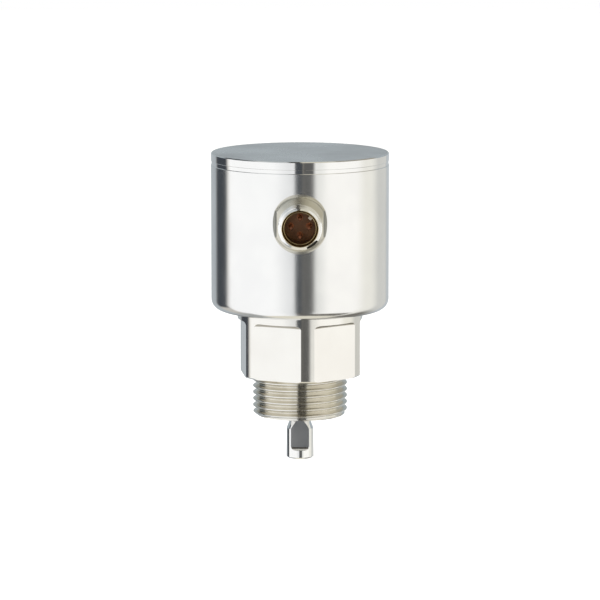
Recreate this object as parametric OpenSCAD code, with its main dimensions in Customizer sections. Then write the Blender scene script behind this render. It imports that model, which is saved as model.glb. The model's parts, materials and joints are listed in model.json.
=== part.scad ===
// Compact radar level sensor.
// A turned process connection carries the probe coupling on an insulated feed-through.
// The steel head with the electronics and the round plug connector swivels on its spigot.
// Millimetres. The origin is the centre of the sealing face under the hexagon.
// +Z runs up the thread axis into the head, and the plug connector faces -Y.

/* [Process connection] */
// Major diameter of the process thread
thread_d = 26.44; // [24:0.01:30]
// Length of the process thread below the sealing face
thread_len = 11.5; // [9:0.1:18]
// Chamfer at the tip of the process thread
thread_chamfer = 1.0; // [0.4:0.1:1.6]
// Diameter of the turned bar, seen at the neck and at the corners of the hexagon
bar_d = 35; // [34:0.1:36.5]
// Width across the six spanner flats
hex_af = 32; // [31:0.1:33]
// Height of the spanner flats above the sealing face
hex_h = 15; // [12:0.1:20]
// Radius that the cutter leaves at the upper end of each flat
flat_end_r = 0.9; // [0.3:0.1:2]
// Angle from the plug connector to the next corner of the hexagon, in degrees
hex_turn = 7; // [0:1:59]
// Height of the round neck above the flats
neck_h = 3.2; // [2.5:0.1:6]
// Chamfer under the corners of the hexagon
corner_chamfer = 0.4; // [0.1:0.1:1]

/* [Swivel] */
// Diameter of the spigot on which the head turns
spigot_d = 22; // [21:0.1:23]
// Radial clearance between the spigot and the floor of the housing
swivel_fit = 0.04; // [0.01:0.01:0.1]
// Gap between the neck and the underside of the housing
swivel_gap = 0.2; // [0.1:0.05:0.5]
// Cord diameter of the O-ring on the spigot
swivel_cord = 1.8; // [1.4:0.1:2.2]
// Width of the slide ring under the housing
slide_ring_w = 2.6; // [1.5:0.1:3]
// Thickness of the slide ring under the housing
slide_ring_t = 1.5; // [0.8:0.1:2]
// Thickness of the thrust washer on the floor of the housing
washer_t = 0.8; // [0.4:0.1:1.5]
// Width of the thrust washer
washer_w = 2.1; // [1.2:0.1:2.6]
// Thickness of the retaining ring
clip_t = 1.2; // [0.8:0.1:2]
// Width of the retaining ring
clip_w = 2.4; // [1.6:0.1:3]
// Depth of the groove for the retaining ring
clip_groove = 0.6; // [0.3:0.1:0.8]
// Height of the spigot above the retaining ring
spigot_land = 1.5; // [0.8:0.1:3]

/* [Probe coupling] */
// Diameter of the coupling stub below the thread
stub_d = 7.5; // [7:0.1:9]
// Length of the coupling stub below the thread
stub_len = 12.4; // [11:0.1:18]
// Height of the cone between the stub and its neck
stub_cone_h = 4; // [2:0.1:5]
// Diameter of the stub's neck, where it runs through the insulator
stub_neck_d = 4.6; // [4.4:0.1:5]
// Width across the two flats of the stub
stub_af = 5.5; // [5:0.1:6.5]
// Distance from the stub's lower end to its flats
stub_skirt = 2.4; // [1.5:0.1:4]
// Radius that the cutter leaves at the lower end of the stub's flats
stub_end_r = 1.0; // [0.4:0.1:2]
// Chamfer at the lower end of the stub
stub_chamfer = 0.35; // [0.1:0.05:0.6]
// Core diameter of the blind rod thread in the stub
rod_core_d = 3.3; // [2.5:0.1:4]
// Depth of the rod thread
rod_depth = 8.5; // [5:0.1:9]
// Diameter of the threaded shank above the insulator
shank_d = 4; // [3.4:0.1:4.2]
// Length of the shank above its nut
shank_tip = 1.3; // [0.5:0.1:3]

/* [Feed-through] */
// Diameter of the insulator in the tank end of the thread
insulator_d = 14; // [12:0.1:17]
// Depth of the insulator's face inside the end of the thread
insulator_inset = 0.4; // [0:0.1:1.5]
// Height of the web's underside above the sealing face
web_z = 2; // [1:0.1:4]
// Thickness of the web that carries the feed-through
web_t = 4; // [2.5:0.1:5]
// Diameter of the bore through the web
web_bore_d = 8.4; // [7:0.1:9.5]
// Diameter of the cavity above the web
cavity_d = 16; // [14:0.1:16.6]
// Thickness of the support bush's flange
bush_flange_t = 2; // [1:0.1:3]
// Width of the support bush's flange beyond the web's bore
bush_flange_w = 2.2; // [1:0.1:2.5]
// Cord diameter of the seal round the insulator
insulator_cord = 1.5; // [1:0.1:1.8]
// Cord diameter of the seal in the stub's neck
rod_cord = 1.0; // [0.8:0.1:1.2]
// Height of the disc spring
spring_h = 1.0; // [0.8:0.1:1.6]
// Sheet thickness of the disc spring
spring_t = 0.5; // [0.3:0.1:0.7]
// Outer diameter of the disc spring
spring_d = 10; // [8.5:0.1:12]
// Width across the flats of the shank's nut
nut_af = 7; // [6:0.1:8]
// Height of the shank's nut
nut_h = 3.2; // [2:0.1:4]
// Diameter of the feed pin
feed_pin_d = 1.0; // [0.8:0.1:1.4]
// Depth of the feed pin's seat in the shank
feed_pin_seat = 3; // [2:0.1:5]
// Gap between the shank and the pin bush
pin_bush_gap = 0.8; // [0.3:0.1:2]

/* [Housing] */
// Outer diameter of the housing
housing_d = 49.6; // [48:0.1:56]
// Height of the housing from its underside to the lid joint
housing_h = 40.7; // [38:0.1:55]
// Wall thickness of the housing
housing_wall = 2; // [1.5:0.1:2.5]
// Thickness of the housing's floor
floor_t = 5; // [4.5:0.1:7]
// Radius of the housing's lower edge
housing_edge_r = 3; // [2:0.1:6]
// Radius between the housing's floor and wall inside
housing_inner_r = 2.5; // [1:0.1:4]
// Break of the housing's upper edge at the lid joint
joint_break = 0.15; // [0.05:0.05:0.5]

/* [Lid] */
// Height of the lid's full rim
lid_rim_h = 2.3; // [1:0.1:5]
// Height of the stepped band between the rim and the joint
lid_band_h = 1.0; // [0.5:0.1:3]
// Depth of the stepped band
lid_band_inset = 0.12; // [0.05:0.01:0.5]
// Edge break of the lid's top
lid_break = 0.25; // [0.1:0.05:1]
// Thickness of the lid's plate
lid_t = 2; // [1:0.1:3]
// Depth of the lid's spigot inside the housing
lid_spigot_h = 3.4; // [3:0.1:5]
// Wall of the lid's spigot
lid_spigot_w = 2.4; // [2.2:0.1:4]
// Radial clearance of the lid's spigot
lid_fit = 0.03; // [0.01:0.01:0.1]
// Cord diameter of the lid's seal
lid_cord = 1.5; // [1:0.1:1.8]

/* [Plug connector] */
// Height of the connector's axis above the underside of the housing
connector_h = 26.9; // [25:0.1:30]
// Distance from the housing's wall to the connector's rim
connector_reach = 9.7; // [8.5:0.1:14]
// Major diameter of the plug thread
tube_d = 12; // [11.6:0.1:13]
// Bore of the socket
socket_d = 8.8; // [8.4:0.1:9.2]
// Diameter of the socket's mouth
mouth_d = 9.9; // [9.3:0.1:10]
// Depth of the chamfer in the socket's mouth
mouth_depth = 1.2; // [0.5:0.1:2]
// Depth of the socket from the rim to the contact carrier
socket_depth = 7.5; // [6:0.1:7.8]
// Chamfer outside the connector's rim
rim_chamfer = 0.95; // [0.3:0.05:1]
// Diameter of the collar that is welded into the housing
collar_d = 14.7; // [14.2:0.1:17]
// Distance that the collar stands out of the housing's wall
collar_reach = 2.0; // [1.5:0.1:3]
// Height of the cone on the front of the collar
collar_cone_h = 1.2; // [0.5:0.1:1.4]
// Width across the two flats on the sides of the collar
collar_af = 12.9; // [12.4:0.1:14]
// Width of the weld bead around the collar
bead_w = 1.0; // [0.3:0.1:1.2]
// Height of the weld bead above the housing's wall
bead_h = 0.4; // [0.1:0.05:0.6]
// Width of the thread relief next to the collar
relief_w = 1.0; // [0.5:0.1:1.5]
// Depth of the thread relief
relief_depth = 0.65; // [0.3:0.05:0.8]
// Depth of the index notch in the rim
index_depth = 0.85; // [0.2:0.05:0.9]
// Width of the index notch
index_w = 3.6; // [2:0.1:5]
// Length of the index notch from the rim
index_len = 1.6; // [0.8:0.1:3]
// Direction of the index notch below the horizontal, in degrees
index_angle = 53; // [30:1:80]
// Length of the sleeve inside the housing's wall
sleeve_tail = 3.5; // [2.5:0.1:5]
// Radial clearance of the sleeve in the wall
sleeve_fit = 0.02; // [0.01:0.01:0.05]

/* [Contacts] */
// Diameter of the contact circle
contact_circle_d = 5; // [4.6:0.1:5.4]
// Diameter of a contact pin
contact_d = 1.0; // [0.8:0.1:1.2]
// Length of a contact pin in front of the carrier
contact_len = 6.3; // [4.5:0.1:7]
// Diameter of the carrier's flange
carrier_flange_d = 11; // [10.4:0.1:12]
// Length of the carrier's flange
carrier_flange_l = 3.6; // [3:0.1:4.5]
// Length of the carrier's nose from the flange to the socket's ground
carrier_nose_l = 1.4; // [0.6:0.1:2.5]
// Diameter of the carrier's tail
carrier_tail_d = 8.4; // [7.6:0.1:9]
// Length of the carrier's tail behind the flange
carrier_tail_l = 5.5; // [4:0.1:6.5]
// Thickness of the threaded ring behind the flange
carrier_ring_t = 1.8; // [1:0.1:2.4]
// Cord diameter of the carrier's seal
carrier_cord = 1.2; // [0.8:0.1:1.5]
// Width of the coding key in the socket
key_w = 1.0; // [0.6:0.1:1.4]
// Height of the coding key from the socket's wall
key_h = 0.8; // [0.4:0.1:1]
// Direction of the coding key above the horizontal, in degrees
key_angle = 45; // [40:1:50]

/* [Electronics] */
// Gap between a board's edge and the housing's wall
board_gap = 1; // [0.5:0.1:2]
// Thickness of the two round boards
board_t = 1.6; // [1:0.1:2]
// Length of the rotary coaxial socket under the signal board
coax_h = 3.5; // [2.5:0.1:5]
// Diameter of the rotary coaxial socket
coax_d = 4; // [3:0.1:5]
// Gap between the spigot and the coaxial socket
coax_gap = 0.5; // [0.3:0.1:1]
// Radial clearance of the feed pin in the coaxial socket
coax_fit = 0.05; // [0.02:0.01:0.1]
// Wall of the board carrier
carrier_wall = 1.4; // [1:0.1:2]
// Diameter of the board carrier's posts
post_d = 4.8; // [4.2:0.1:5]
// Clearance between the board carrier and the parts that turn beside it
carrier_clearance = 1; // [0.5:0.1:1.5]
// Distance between the two boards
spacer_h = 5.5; // [4.8:0.1:7]
// Diameter of the spacers between the boards
spacer_d = 4.2; // [3.6:0.1:5]
// Shank diameter of the board screws
screw_d = 2; // [1.6:0.1:2.4]
// Head diameter of the board screws
screw_head_d = 3.8; // [3.2:0.1:4.4]
// Head height of the board screws
screw_head_h = 1.6; // [1:0.1:2]
// Length of the board screws below their heads
screw_len = 14; // [11:0.5:15]
// Side of the square shielding can
shield_side = 18; // [12:0.5:19]
// Height of the shielding can
shield_h = 3.6; // [2:0.1:4]
// Sheet thickness of the shielding can
shield_t = 0.3; // [0.2:0.1:0.5]
// Side of the square processor
processor_side = 9; // [6:0.5:10]
// Height of the processor
processor_h = 1.4; // [0.8:0.1:2]
// Diameter of a buffer capacitor
capacitor_d = 6.3; // [4:0.1:7]
// Height of a buffer capacitor
capacitor_h = 5.8; // [4:0.1:8]
// Side of the square power coil
coil_side = 6; // [4:0.1:6.4]
// Height of the power coil
coil_h = 3; // [1.5:0.1:4]
// Width of the flexible ribbon
ribbon_w = 3.4; // [2.4:0.1:3.6]
// Thickness of the flexible ribbon
ribbon_t = 0.2; // [0.1:0.05:0.3]
// Inner bend radius of the flexible ribbon
ribbon_bend = 0.8; // [0.4:0.1:1]
// Thickness of the small board behind the contacts
end_board_t = 1; // [0.6:0.1:1.2]
// Height of the ribbon's header
header_h = 1.5; // [1.3:0.1:1.8]
// Width of the ribbon's header
header_w = 2.6; // [2:0.1:3.2]

/* [Hidden] */
$fn = 96;

// Clearances and small breaks shared by several pieces
close_fit = 0.02;
seat_gap = 0.05;
edge_break = 0.3;
small_break = 0.15;

// Distance that a cutting shape runs past the solid it cuts
past = 1;

// Shares of an O-ring's cord that its groove takes in depth and in width
squeeze = 0.78;
groove_room = 1.32;

// Heights along the thread axis, from the sealing face up
thread_r = thread_d / 2;
thread_tip_z = thread_chamfer - thread_len;
bar_r = bar_d / 2;
neck_z = hex_h + neck_h;
floor_low_z = neck_z + swivel_gap;
floor_top_z = floor_low_z + floor_t;
washer_z = floor_top_z + seat_gap;
clip_z = washer_z + washer_t + seat_gap;
spigot_z = clip_z + clip_t + spigot_land;
joint_z = floor_low_z + housing_h;
rim_z = joint_z + lid_band_h;
lid_z = rim_z + lid_rim_h;
coax_z = spigot_z + coax_gap;
signal_z = coax_z + coax_h;
signal_top_z = signal_z + board_t;
main_z = signal_top_z + spacer_h;
main_top_z = main_z + board_t;
header_top_z = main_top_z + header_h;

// Radii of the swivel
spigot_r = spigot_d / 2;
swivel_bore_r = spigot_r + swivel_fit;
swivel_depth = swivel_cord * squeeze;
swivel_groove_w = swivel_cord * groove_room;
swivel_seal_z = floor_low_z + floor_t / 2;
slide_ring_r = spigot_r + edge_break + past;
slide_ring_z = floor_low_z - close_fit - slide_ring_t;
clip_r = spigot_r - clip_groove + close_fit;
clip_gap_angle = 34;
clip_lug_angle = clip_gap_angle / 2 + 5;
clip_lug_r = 1.5;
clip_hole_r = 0.6;

// Heights and radii of the feed-through
insulator_r = insulator_d / 2;
insulator_z = insulator_inset - thread_len;
web_top_z = web_z + web_t;
bush_top_z = web_top_z + bush_flange_t;
nut_z = bush_top_z + spring_h;
nut_top_z = nut_z + nut_h;
shank_top_z = nut_top_z + shank_tip;
pin_bush_z = shank_top_z + pin_bush_gap;
cavity_r = cavity_d / 2;
web_bore_r = web_bore_d / 2;
shank_r = shank_d / 2;
stub_r = stub_d / 2;
stub_neck_r = stub_neck_d / 2;
stub_low_z = -thread_len - stub_len;
stub_cone_z = -thread_len - stub_cone_h;
stub_flat_z = stub_low_z + stub_skirt + stub_end_r;
rod_core_r = rod_core_d / 2;
insulator_depth = insulator_cord * squeeze;
insulator_groove_w = insulator_cord * groove_room;
insulator_seal_z = web_z - 2 * insulator_groove_w;
rod_seal_depth = rod_cord * squeeze;
rod_groove_w = rod_cord * groove_room;
rod_seal_z = insulator_z / 2;
feed_pin_r = feed_pin_d / 2;
feed_pin_top_z = signal_z - 2 * edge_break;

// Radii of the head
housing_r = housing_d / 2;
wall_r = housing_r - housing_wall;
lid_spigot_r = wall_r - lid_fit;
lid_depth = lid_cord * squeeze;
lid_groove_w = lid_cord * groove_room;
lid_seal_z = joint_z - lid_spigot_h / 2;

// Places along the connector's axis, counted outwards from the thread axis
connector_z = floor_low_z + connector_h;
rim_s = housing_r + connector_reach;
collar_s = housing_r + collar_reach;
tube_thread_s = collar_s + relief_w + relief_depth;
tail_s = wall_r - sleeve_tail;
ground_s = rim_s - socket_depth;
flange_s = ground_s - carrier_nose_l;
flange_back_s = flange_s - carrier_flange_l;
ring_back_s = flange_back_s - carrier_ring_t;
tail_end_s = flange_back_s - carrier_tail_l;
board_back_s = tail_end_s - end_board_t;
contact_tip_s = ground_s + contact_len;
contact_tail_s = board_back_s - edge_break;
tube_r = tube_d / 2;
socket_r = socket_d / 2;
mouth_r = mouth_d / 2;
collar_r = collar_d / 2;
bead_r = collar_r + bead_w;
carrier_flange_r = carrier_flange_d / 2;
carrier_tail_r = carrier_tail_d / 2;
carrier_depth = carrier_cord * squeeze;
carrier_groove_w = carrier_cord * groove_room;
carrier_seal_s = flange_back_s + carrier_flange_l / 2;
contact_r = contact_d / 2;
key_s = rim_s - mouth_depth - edge_break;
end_board_r = carrier_flange_r - edge_break;
spanner_slot_w = 1;

// Places on the boards
board_r = wall_r - board_gap;
carrier_r = wall_r - housing_inner_r - edge_break;
post_r = post_d / 2;
post_circle_r = carrier_r - post_r - edge_break;
post_angles = [90, 210, 330];
carrier_bore_r = carrier_clearance + max(spigot_r + washer_w, clip_r + clip_w);
screw_r = screw_d / 2;
spacer_r = spacer_d / 2;
notch_w = collar_d + 2 * board_gap;
notch_s = contact_tail_s - board_gap;
header_s = notch_s - board_gap - header_w / 2;
header_l = ribbon_w + 2.2;
capacitor_r = capacitor_d / 2;
capacitor_x = processor_side / 2 + capacitor_r + 2;
coil_y = post_circle_r - screw_head_d / 2 - coil_side / 2 - board_gap / 2;
ribbon_y = -header_s;
recess_w = 0.6;

steel = [0.80, 0.80, 0.79];
bright_steel = [0.86, 0.86, 0.85];
polymer_white = [0.93, 0.92, 0.88];
polymer_tan = [0.76, 0.66, 0.50];
elastomer = [0.08, 0.08, 0.08];
amber = [0.36, 0.19, 0.12];
gold = [0.85, 0.66, 0.30];
board_green = [0.10, 0.32, 0.20];
black_plastic = [0.10, 0.10, 0.11];
copper_film = [0.72, 0.42, 0.16];

// A half section of a disc whose lower outer edge is rounded
module rounded_section(radius, low, high, edge) {
    translate([0, low]) square([radius - edge, high - low]);
    translate([0, low + edge]) square([radius, high - low - edge]);
    translate([radius - edge, low + edge]) circle(edge);
}

// A half section of a groove or ring, from one radius to another
module ring_section(inner, outer, low, high) {
    translate([inner, low]) square([outer - inner, high - low]);
}

// An O-ring as it lies squeezed in its groove, round at its two sides
module squeezed_ring(inner, outer, middle, width) {
    squeeze_r = (outer - inner) / 2;
    straight = width - 2 * squeeze_r;
    rotate_extrude() {
        translate([inner, middle - straight / 2]) square([outer - inner, straight]);
        for (side = [-1, 1])
            translate([inner + squeeze_r, middle + side * straight / 2]) circle(squeeze_r);
    }
}

// Places its children along the connector's axis, with +Z outwards and +Y up
module along_connector() {
    translate([0, 0, connector_z]) rotate([90, 0, 0]) children();
}

// Places its children over the three posts of the board carrier
module at_posts() {
    for (angle = post_angles) rotate([0, 0, angle]) translate([post_circle_r, 0, 0]) children();
}

// One pass of the cutter along a spanner flat, with its end radius
module flat_cutter(distance, low, high, end_r, width) {
    reach = width / 2;
    rotate([90, 0, 0])
        linear_extrude(height = width, center = true) {
            translate([distance, low]) square([reach, high - low]);
            translate([distance + end_r, low]) square([reach, high - low + end_r]);
            translate([distance + end_r, high]) circle(end_r);
        }
}

module connection_section() {
    difference() {
        polygon([
            [0, -thread_len],
            [thread_r - thread_chamfer, -thread_len],
            [thread_r, thread_tip_z],
            [thread_r, 0],
            [bar_r - corner_chamfer, 0],
            [bar_r, corner_chamfer],
            [bar_r, neck_z - small_break],
            [bar_r - small_break, neck_z],
            [spigot_r, neck_z],
            [spigot_r, spigot_z - edge_break],
            [spigot_r - edge_break, spigot_z],
            [0, spigot_z]
        ]);
        ring_section(0, insulator_r, -thread_len - past, web_z);
        ring_section(0, web_bore_r, -thread_len, spigot_z);
        ring_section(0, cavity_r, web_top_z, spigot_z + past);
        ring_section(slide_ring_r - close_fit, slide_ring_r + slide_ring_w + close_fit,
                     slide_ring_z - close_fit, neck_z + past);
        ring_section(spigot_r - swivel_depth - close_fit, bar_r,
                     swivel_seal_z - swivel_groove_w / 2, swivel_seal_z + swivel_groove_w / 2);
        ring_section(spigot_r - clip_groove, bar_r,
                     clip_z - close_fit, clip_z + clip_t + close_fit);
    }
}

module process_connection() {
    color(steel) difference() {
        rotate_extrude() connection_section();
        for (i = [0 : 5])
            rotate([0, 0, hex_turn + 60 * i - 60])
                flat_cutter(hex_af / 2, -past, hex_h, flat_end_r, bar_d);
    }
}

module rod_coupling() {
    color(bright_steel) difference() {
        rotate_extrude() difference() {
            polygon([
                [0, stub_low_z],
                [stub_r - stub_chamfer, stub_low_z],
                [stub_r, stub_low_z + stub_chamfer],
                [stub_r, stub_cone_z],
                [stub_neck_r, -thread_len],
                [stub_neck_r, web_z],
                [shank_r, web_z],
                [shank_r, shank_top_z - edge_break],
                [shank_r - edge_break, shank_top_z],
                [0, shank_top_z]
            ]);
            ring_section(0, rod_core_r, stub_low_z - past, stub_low_z + rod_depth);
            ring_section(0, feed_pin_r + close_fit,
                         shank_top_z - feed_pin_seat, shank_top_z + past);
            ring_section(stub_neck_r - rod_seal_depth, stub_r,
                         rod_seal_z - rod_groove_w / 2, rod_seal_z + rod_groove_w / 2);
        }
        for (side = [0, 180])
            rotate([0, 0, 90 + side]) mirror([0, 0, 1])
                flat_cutter(stub_af / 2, thread_len, -stub_flat_z, stub_end_r, stub_d);
    }
}

module probe_insulator() {
    color(polymer_white) rotate_extrude() difference() {
        ring_section(stub_neck_r + close_fit, insulator_r - close_fit, insulator_z, web_z);
        ring_section(insulator_r - insulator_depth - close_fit, insulator_r + past,
                     insulator_seal_z - insulator_groove_w / 2,
                     insulator_seal_z + insulator_groove_w / 2);
    }
}

module insulator_seal() {
    color(elastomer)
        squeezed_ring(insulator_r - insulator_depth, insulator_r - close_fit,
                      insulator_seal_z, insulator_groove_w - 2 * seat_gap);
}

module rod_seal() {
    color(elastomer)
        squeezed_ring(stub_neck_r - rod_seal_depth + close_fit, stub_neck_r,
                      rod_seal_z, rod_groove_w - 2 * seat_gap);
}

module support_bush() {
    color(polymer_tan) rotate_extrude() {
        ring_section(shank_r + close_fit, web_bore_r - close_fit, web_z, bush_top_z);
        ring_section(shank_r + close_fit, web_bore_r + bush_flange_w, web_top_z, bush_top_z);
    }
}

module disc_spring() {
    inner = shank_r + seat_gap;
    outer = spring_d / 2;
    color(steel) rotate_extrude()
        polygon([
            [outer, bush_top_z],
            [outer, bush_top_z + spring_t],
            [inner, nut_z],
            [inner, nut_z - spring_t]
        ]);
}

module coupling_nut() {
    corner_r = nut_af / sqrt(3);
    color(steel) difference() {
        intersection() {
            translate([0, 0, nut_z]) rotate([0, 0, hex_turn]) cylinder(h = nut_h, r = corner_r, $fn = 6);
            rotate_extrude()
                polygon([
                    [0, nut_z],
                    [corner_r - edge_break, nut_z],
                    [corner_r, nut_z + small_break],
                    [corner_r, nut_top_z - small_break],
                    [corner_r - edge_break, nut_top_z],
                    [0, nut_top_z]
                ]);
        }
        translate([0, 0, nut_z - past]) cylinder(h = nut_h + 2 * past, r = shank_r + close_fit);
    }
}

module pin_bush() {
    color(polymer_white) rotate_extrude()
        ring_section(feed_pin_r + close_fit, cavity_r - close_fit, pin_bush_z, spigot_z);
}

module feed_pin() {
    color(gold) rotate_extrude()
        polygon([
            [0, shank_top_z - feed_pin_seat],
            [feed_pin_r, shank_top_z - feed_pin_seat],
            [feed_pin_r, feed_pin_top_z - small_break],
            [feed_pin_r - small_break, feed_pin_top_z],
            [0, feed_pin_top_z]
        ]);
}

module swivel_seal() {
    color(elastomer)
        squeezed_ring(spigot_r - swivel_depth, spigot_r, swivel_seal_z, swivel_groove_w - 2 * seat_gap);
}

module slide_ring() {
    color(polymer_white) rotate_extrude()
        ring_section(slide_ring_r, slide_ring_r + slide_ring_w,
                     slide_ring_z, slide_ring_z + slide_ring_t);
}

module thrust_washer() {
    color(gold) rotate_extrude()
        ring_section(spigot_r + seat_gap, spigot_r + washer_w, washer_z, washer_z + washer_t);
}

module retaining_ring() {
    middle_r = clip_r + clip_w / 2;
    opening = 2 * (clip_r + clip_w) * tan(clip_gap_angle / 2);
    color(steel) translate([0, 0, clip_z]) linear_extrude(height = clip_t) difference() {
        union() {
            difference() {
                circle(clip_r + clip_w);
                circle(clip_r);
                translate([0, -opening / 2]) square([clip_r + 2 * clip_w, opening]);
            }
            for (side = [-1, 1])
                rotate([0, 0, side * clip_lug_angle])
                    translate([middle_r, 0]) circle(clip_lug_r);
        }
        for (side = [-1, 1])
            rotate([0, 0, side * clip_lug_angle])
                translate([middle_r, 0]) circle(clip_hole_r);
        circle(clip_r);
    }
}

module housing() {
    color(steel) difference() {
        rotate_extrude() difference() {
            rounded_section(housing_r, floor_low_z, joint_z, housing_edge_r);
            rounded_section(wall_r, floor_top_z, joint_z + past, housing_inner_r);
            ring_section(0, swivel_bore_r, floor_low_z - past, floor_top_z + past);
            polygon([
                [housing_r - joint_break, joint_z],
                [housing_r + past, joint_z - joint_break - past],
                [housing_r + past, joint_z + past],
                [housing_r - joint_break, joint_z + past]
            ]);
        }
        along_connector() cylinder(h = housing_r + past, r = collar_r + sleeve_fit);
    }
}

module lid() {
    color(bright_steel) rotate_extrude() difference() {
        polygon([
            [0, joint_z - lid_spigot_h],
            [lid_spigot_r - edge_break, joint_z - lid_spigot_h],
            [lid_spigot_r, joint_z - lid_spigot_h + edge_break],
            [lid_spigot_r, joint_z],
            [housing_r - lid_band_inset, joint_z],
            [housing_r - lid_band_inset, rim_z],
            [housing_r, rim_z + lid_band_inset],
            [housing_r, lid_z - lid_break],
            [housing_r - lid_break, lid_z],
            [0, lid_z]
        ]);
        ring_section(0, lid_spigot_r - lid_spigot_w, joint_z - lid_spigot_h - past, lid_z - lid_t);
        ring_section(lid_spigot_r - lid_depth - close_fit, housing_r,
                     lid_seal_z - lid_groove_w / 2, lid_seal_z + lid_groove_w / 2);
    }
}

module lid_seal() {
    color(elastomer)
        squeezed_ring(lid_spigot_r - lid_depth, lid_spigot_r, lid_seal_z, lid_groove_w - 2 * seat_gap);
}

module sleeve_section() {
    difference() {
        polygon([
            [0, tail_s],
            [collar_r, tail_s],
            [collar_r, collar_s - collar_cone_h],
            [tube_r - relief_depth, collar_s],
            [tube_r - relief_depth, collar_s + relief_w],
            [tube_r, tube_thread_s],
            [tube_r, rim_s - rim_chamfer],
            [tube_r - rim_chamfer, rim_s],
            [0, rim_s]
        ]);
        ring_section(0, carrier_flange_r, tail_s - past, flange_s);
        ring_section(0, socket_r, tail_s, rim_s);
        polygon([
            [0, rim_s - mouth_depth],
            [socket_r, rim_s - mouth_depth],
            [mouth_r, rim_s],
            [mouth_r, rim_s + past],
            [0, rim_s + past]
        ]);
    }
}

// The weld bead that follows the housing's wall around the collar
module weld_bead() {
    intersection() {
        along_connector() difference() {
            cylinder(h = housing_r + past, r = bead_r);
            translate([0, 0, -past])
                cylinder(h = housing_r + 3 * past, r = carrier_flange_r + edge_break);
        }
        difference() {
            cylinder(h = lid_z, r = housing_r + bead_h);
            translate([0, 0, -past]) cylinder(h = lid_z + 2 * past, r = housing_r + close_fit);
        }
    }
}

// The space beside the collar's two flats, down into the weld bead
module beside_collar() {
    difference() {
        along_connector() for (side = [0, 180]) rotate([0, 0, side])
            translate([collar_af / 2, -bead_r, tail_s]) cube([bead_r, 2 * bead_r, rim_s - tail_s]);
        translate([0, 0, -past]) cylinder(h = lid_z + 2 * past, r = housing_r + bead_h / 2);
    }
}

module connector_sleeve() {
    color(bright_steel) difference() {
        union() {
            difference() {
                along_connector() rotate_extrude() sleeve_section();
                beside_collar();
            }
            weld_bead();
        }
        along_connector() rotate([0, 0, -index_angle])
            translate([tube_r - index_depth, -index_w / 2, rim_s - index_len])
                cube([tube_r, index_w, index_len + past]);
    }
}

module contact_carrier() {
    color(amber) along_connector() difference() {
        union() {
            rotate_extrude() difference() {
                polygon([
                    [0, tail_end_s],
                    [carrier_tail_r, tail_end_s],
                    [carrier_tail_r, flange_back_s],
                    [carrier_flange_r - close_fit, flange_back_s],
                    [carrier_flange_r - close_fit, flange_s],
                    [socket_r - close_fit, flange_s],
                    [socket_r - close_fit, ground_s],
                    [0, ground_s]
                ]);
                ring_section(carrier_flange_r - carrier_depth - close_fit, carrier_flange_r + past,
                             carrier_seal_s - carrier_groove_w / 2,
                             carrier_seal_s + carrier_groove_w / 2);
            }
            rotate([0, 0, key_angle])
                translate([socket_r - seat_gap - key_h, -key_w / 2, ground_s - past])
                    cube([key_h, key_w, key_s - ground_s + past]);
        }
        for (i = [0 : 3])
            rotate([0, 0, 90 * i]) translate([contact_circle_d / 2, 0, tail_end_s - past])
                cylinder(h = ground_s - tail_end_s + 2 * past, r = contact_r + close_fit);
    }
}

module carrier_seal() {
    color(elastomer) along_connector()
        squeezed_ring(carrier_flange_r - carrier_depth, carrier_flange_r - close_fit,
                      carrier_seal_s, carrier_groove_w - 2 * seat_gap);
}

module carrier_ring() {
    color(gold) along_connector() difference() {
        rotate_extrude()
            ring_section(carrier_tail_r + seat_gap, carrier_flange_r - close_fit,
                         ring_back_s, flange_back_s);
        translate([-carrier_flange_d, -spanner_slot_w / 2, ring_back_s - past])
            cube([2 * carrier_flange_d, spanner_slot_w, carrier_ring_t / 2 + past]);
    }
}

module contact_pin(number) {
    color(gold) along_connector() rotate([0, 0, 90 * number])
        translate([contact_circle_d / 2, 0, 0])
            rotate_extrude()
                polygon([
                    [0, contact_tail_s],
                    [contact_r, contact_tail_s],
                    [contact_r, contact_tip_s - edge_break],
                    [contact_r - small_break, contact_tip_s],
                    [0, contact_tip_s]
                ]);
}

module end_board() {
    color(board_green) along_connector() difference() {
        translate([0, 0, board_back_s]) cylinder(h = end_board_t, r = end_board_r);
        for (i = [0 : 3])
            rotate([0, 0, 90 * i]) translate([contact_circle_d / 2, 0, board_back_s - past])
                cylinder(h = end_board_t + 2 * past, r = contact_r + close_fit);
    }
}

module flex_ribbon() {
    outer_bend = ribbon_bend + ribbon_t;
    level = connector_z;
    run = board_back_s - header_s + ribbon_t / 2 - outer_bend;
    color(copper_film) translate([-ribbon_w / 2, 0, 0]) rotate([90, 0, 90])
        linear_extrude(height = ribbon_w) {
            translate([-board_back_s, level - ribbon_t]) square([run, ribbon_t]);
            translate([run - board_back_s, level - outer_bend]) difference() {
                intersection() {
                    circle(outer_bend);
                    square(outer_bend);
                }
                circle(ribbon_bend);
            }
            translate([ribbon_y - ribbon_t / 2, header_top_z - past])
                square([ribbon_t, level - outer_bend - header_top_z + past]);
        }
}

module ribbon_header() {
    slot_w = ribbon_t + 2 * seat_gap;
    slot_l = ribbon_w + 2 * seat_gap;
    color(black_plastic) difference() {
        translate([-header_l / 2, ribbon_y - header_w / 2, main_top_z])
            cube([header_l, header_w, header_h]);
        translate([-slot_l / 2, ribbon_y - slot_w / 2, header_top_z - past - seat_gap])
            cube([slot_l, slot_w, 2 * past]);
    }
}

module board_carrier() {
    color(black_plastic) difference() {
        translate([0, 0, floor_top_z]) linear_extrude(height = signal_z - floor_top_z) {
            difference() {
                circle(carrier_r);
                circle(carrier_r - carrier_wall);
            }
            at_posts() circle(post_r);
        }
        translate([0, 0, floor_top_z - past])
            cylinder(h = signal_z - floor_top_z + 2 * past, r = carrier_bore_r);
        at_posts() translate([0, 0, main_top_z - screw_len - past])
            cylinder(h = screw_len, r = screw_r + close_fit);
    }
}

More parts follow.
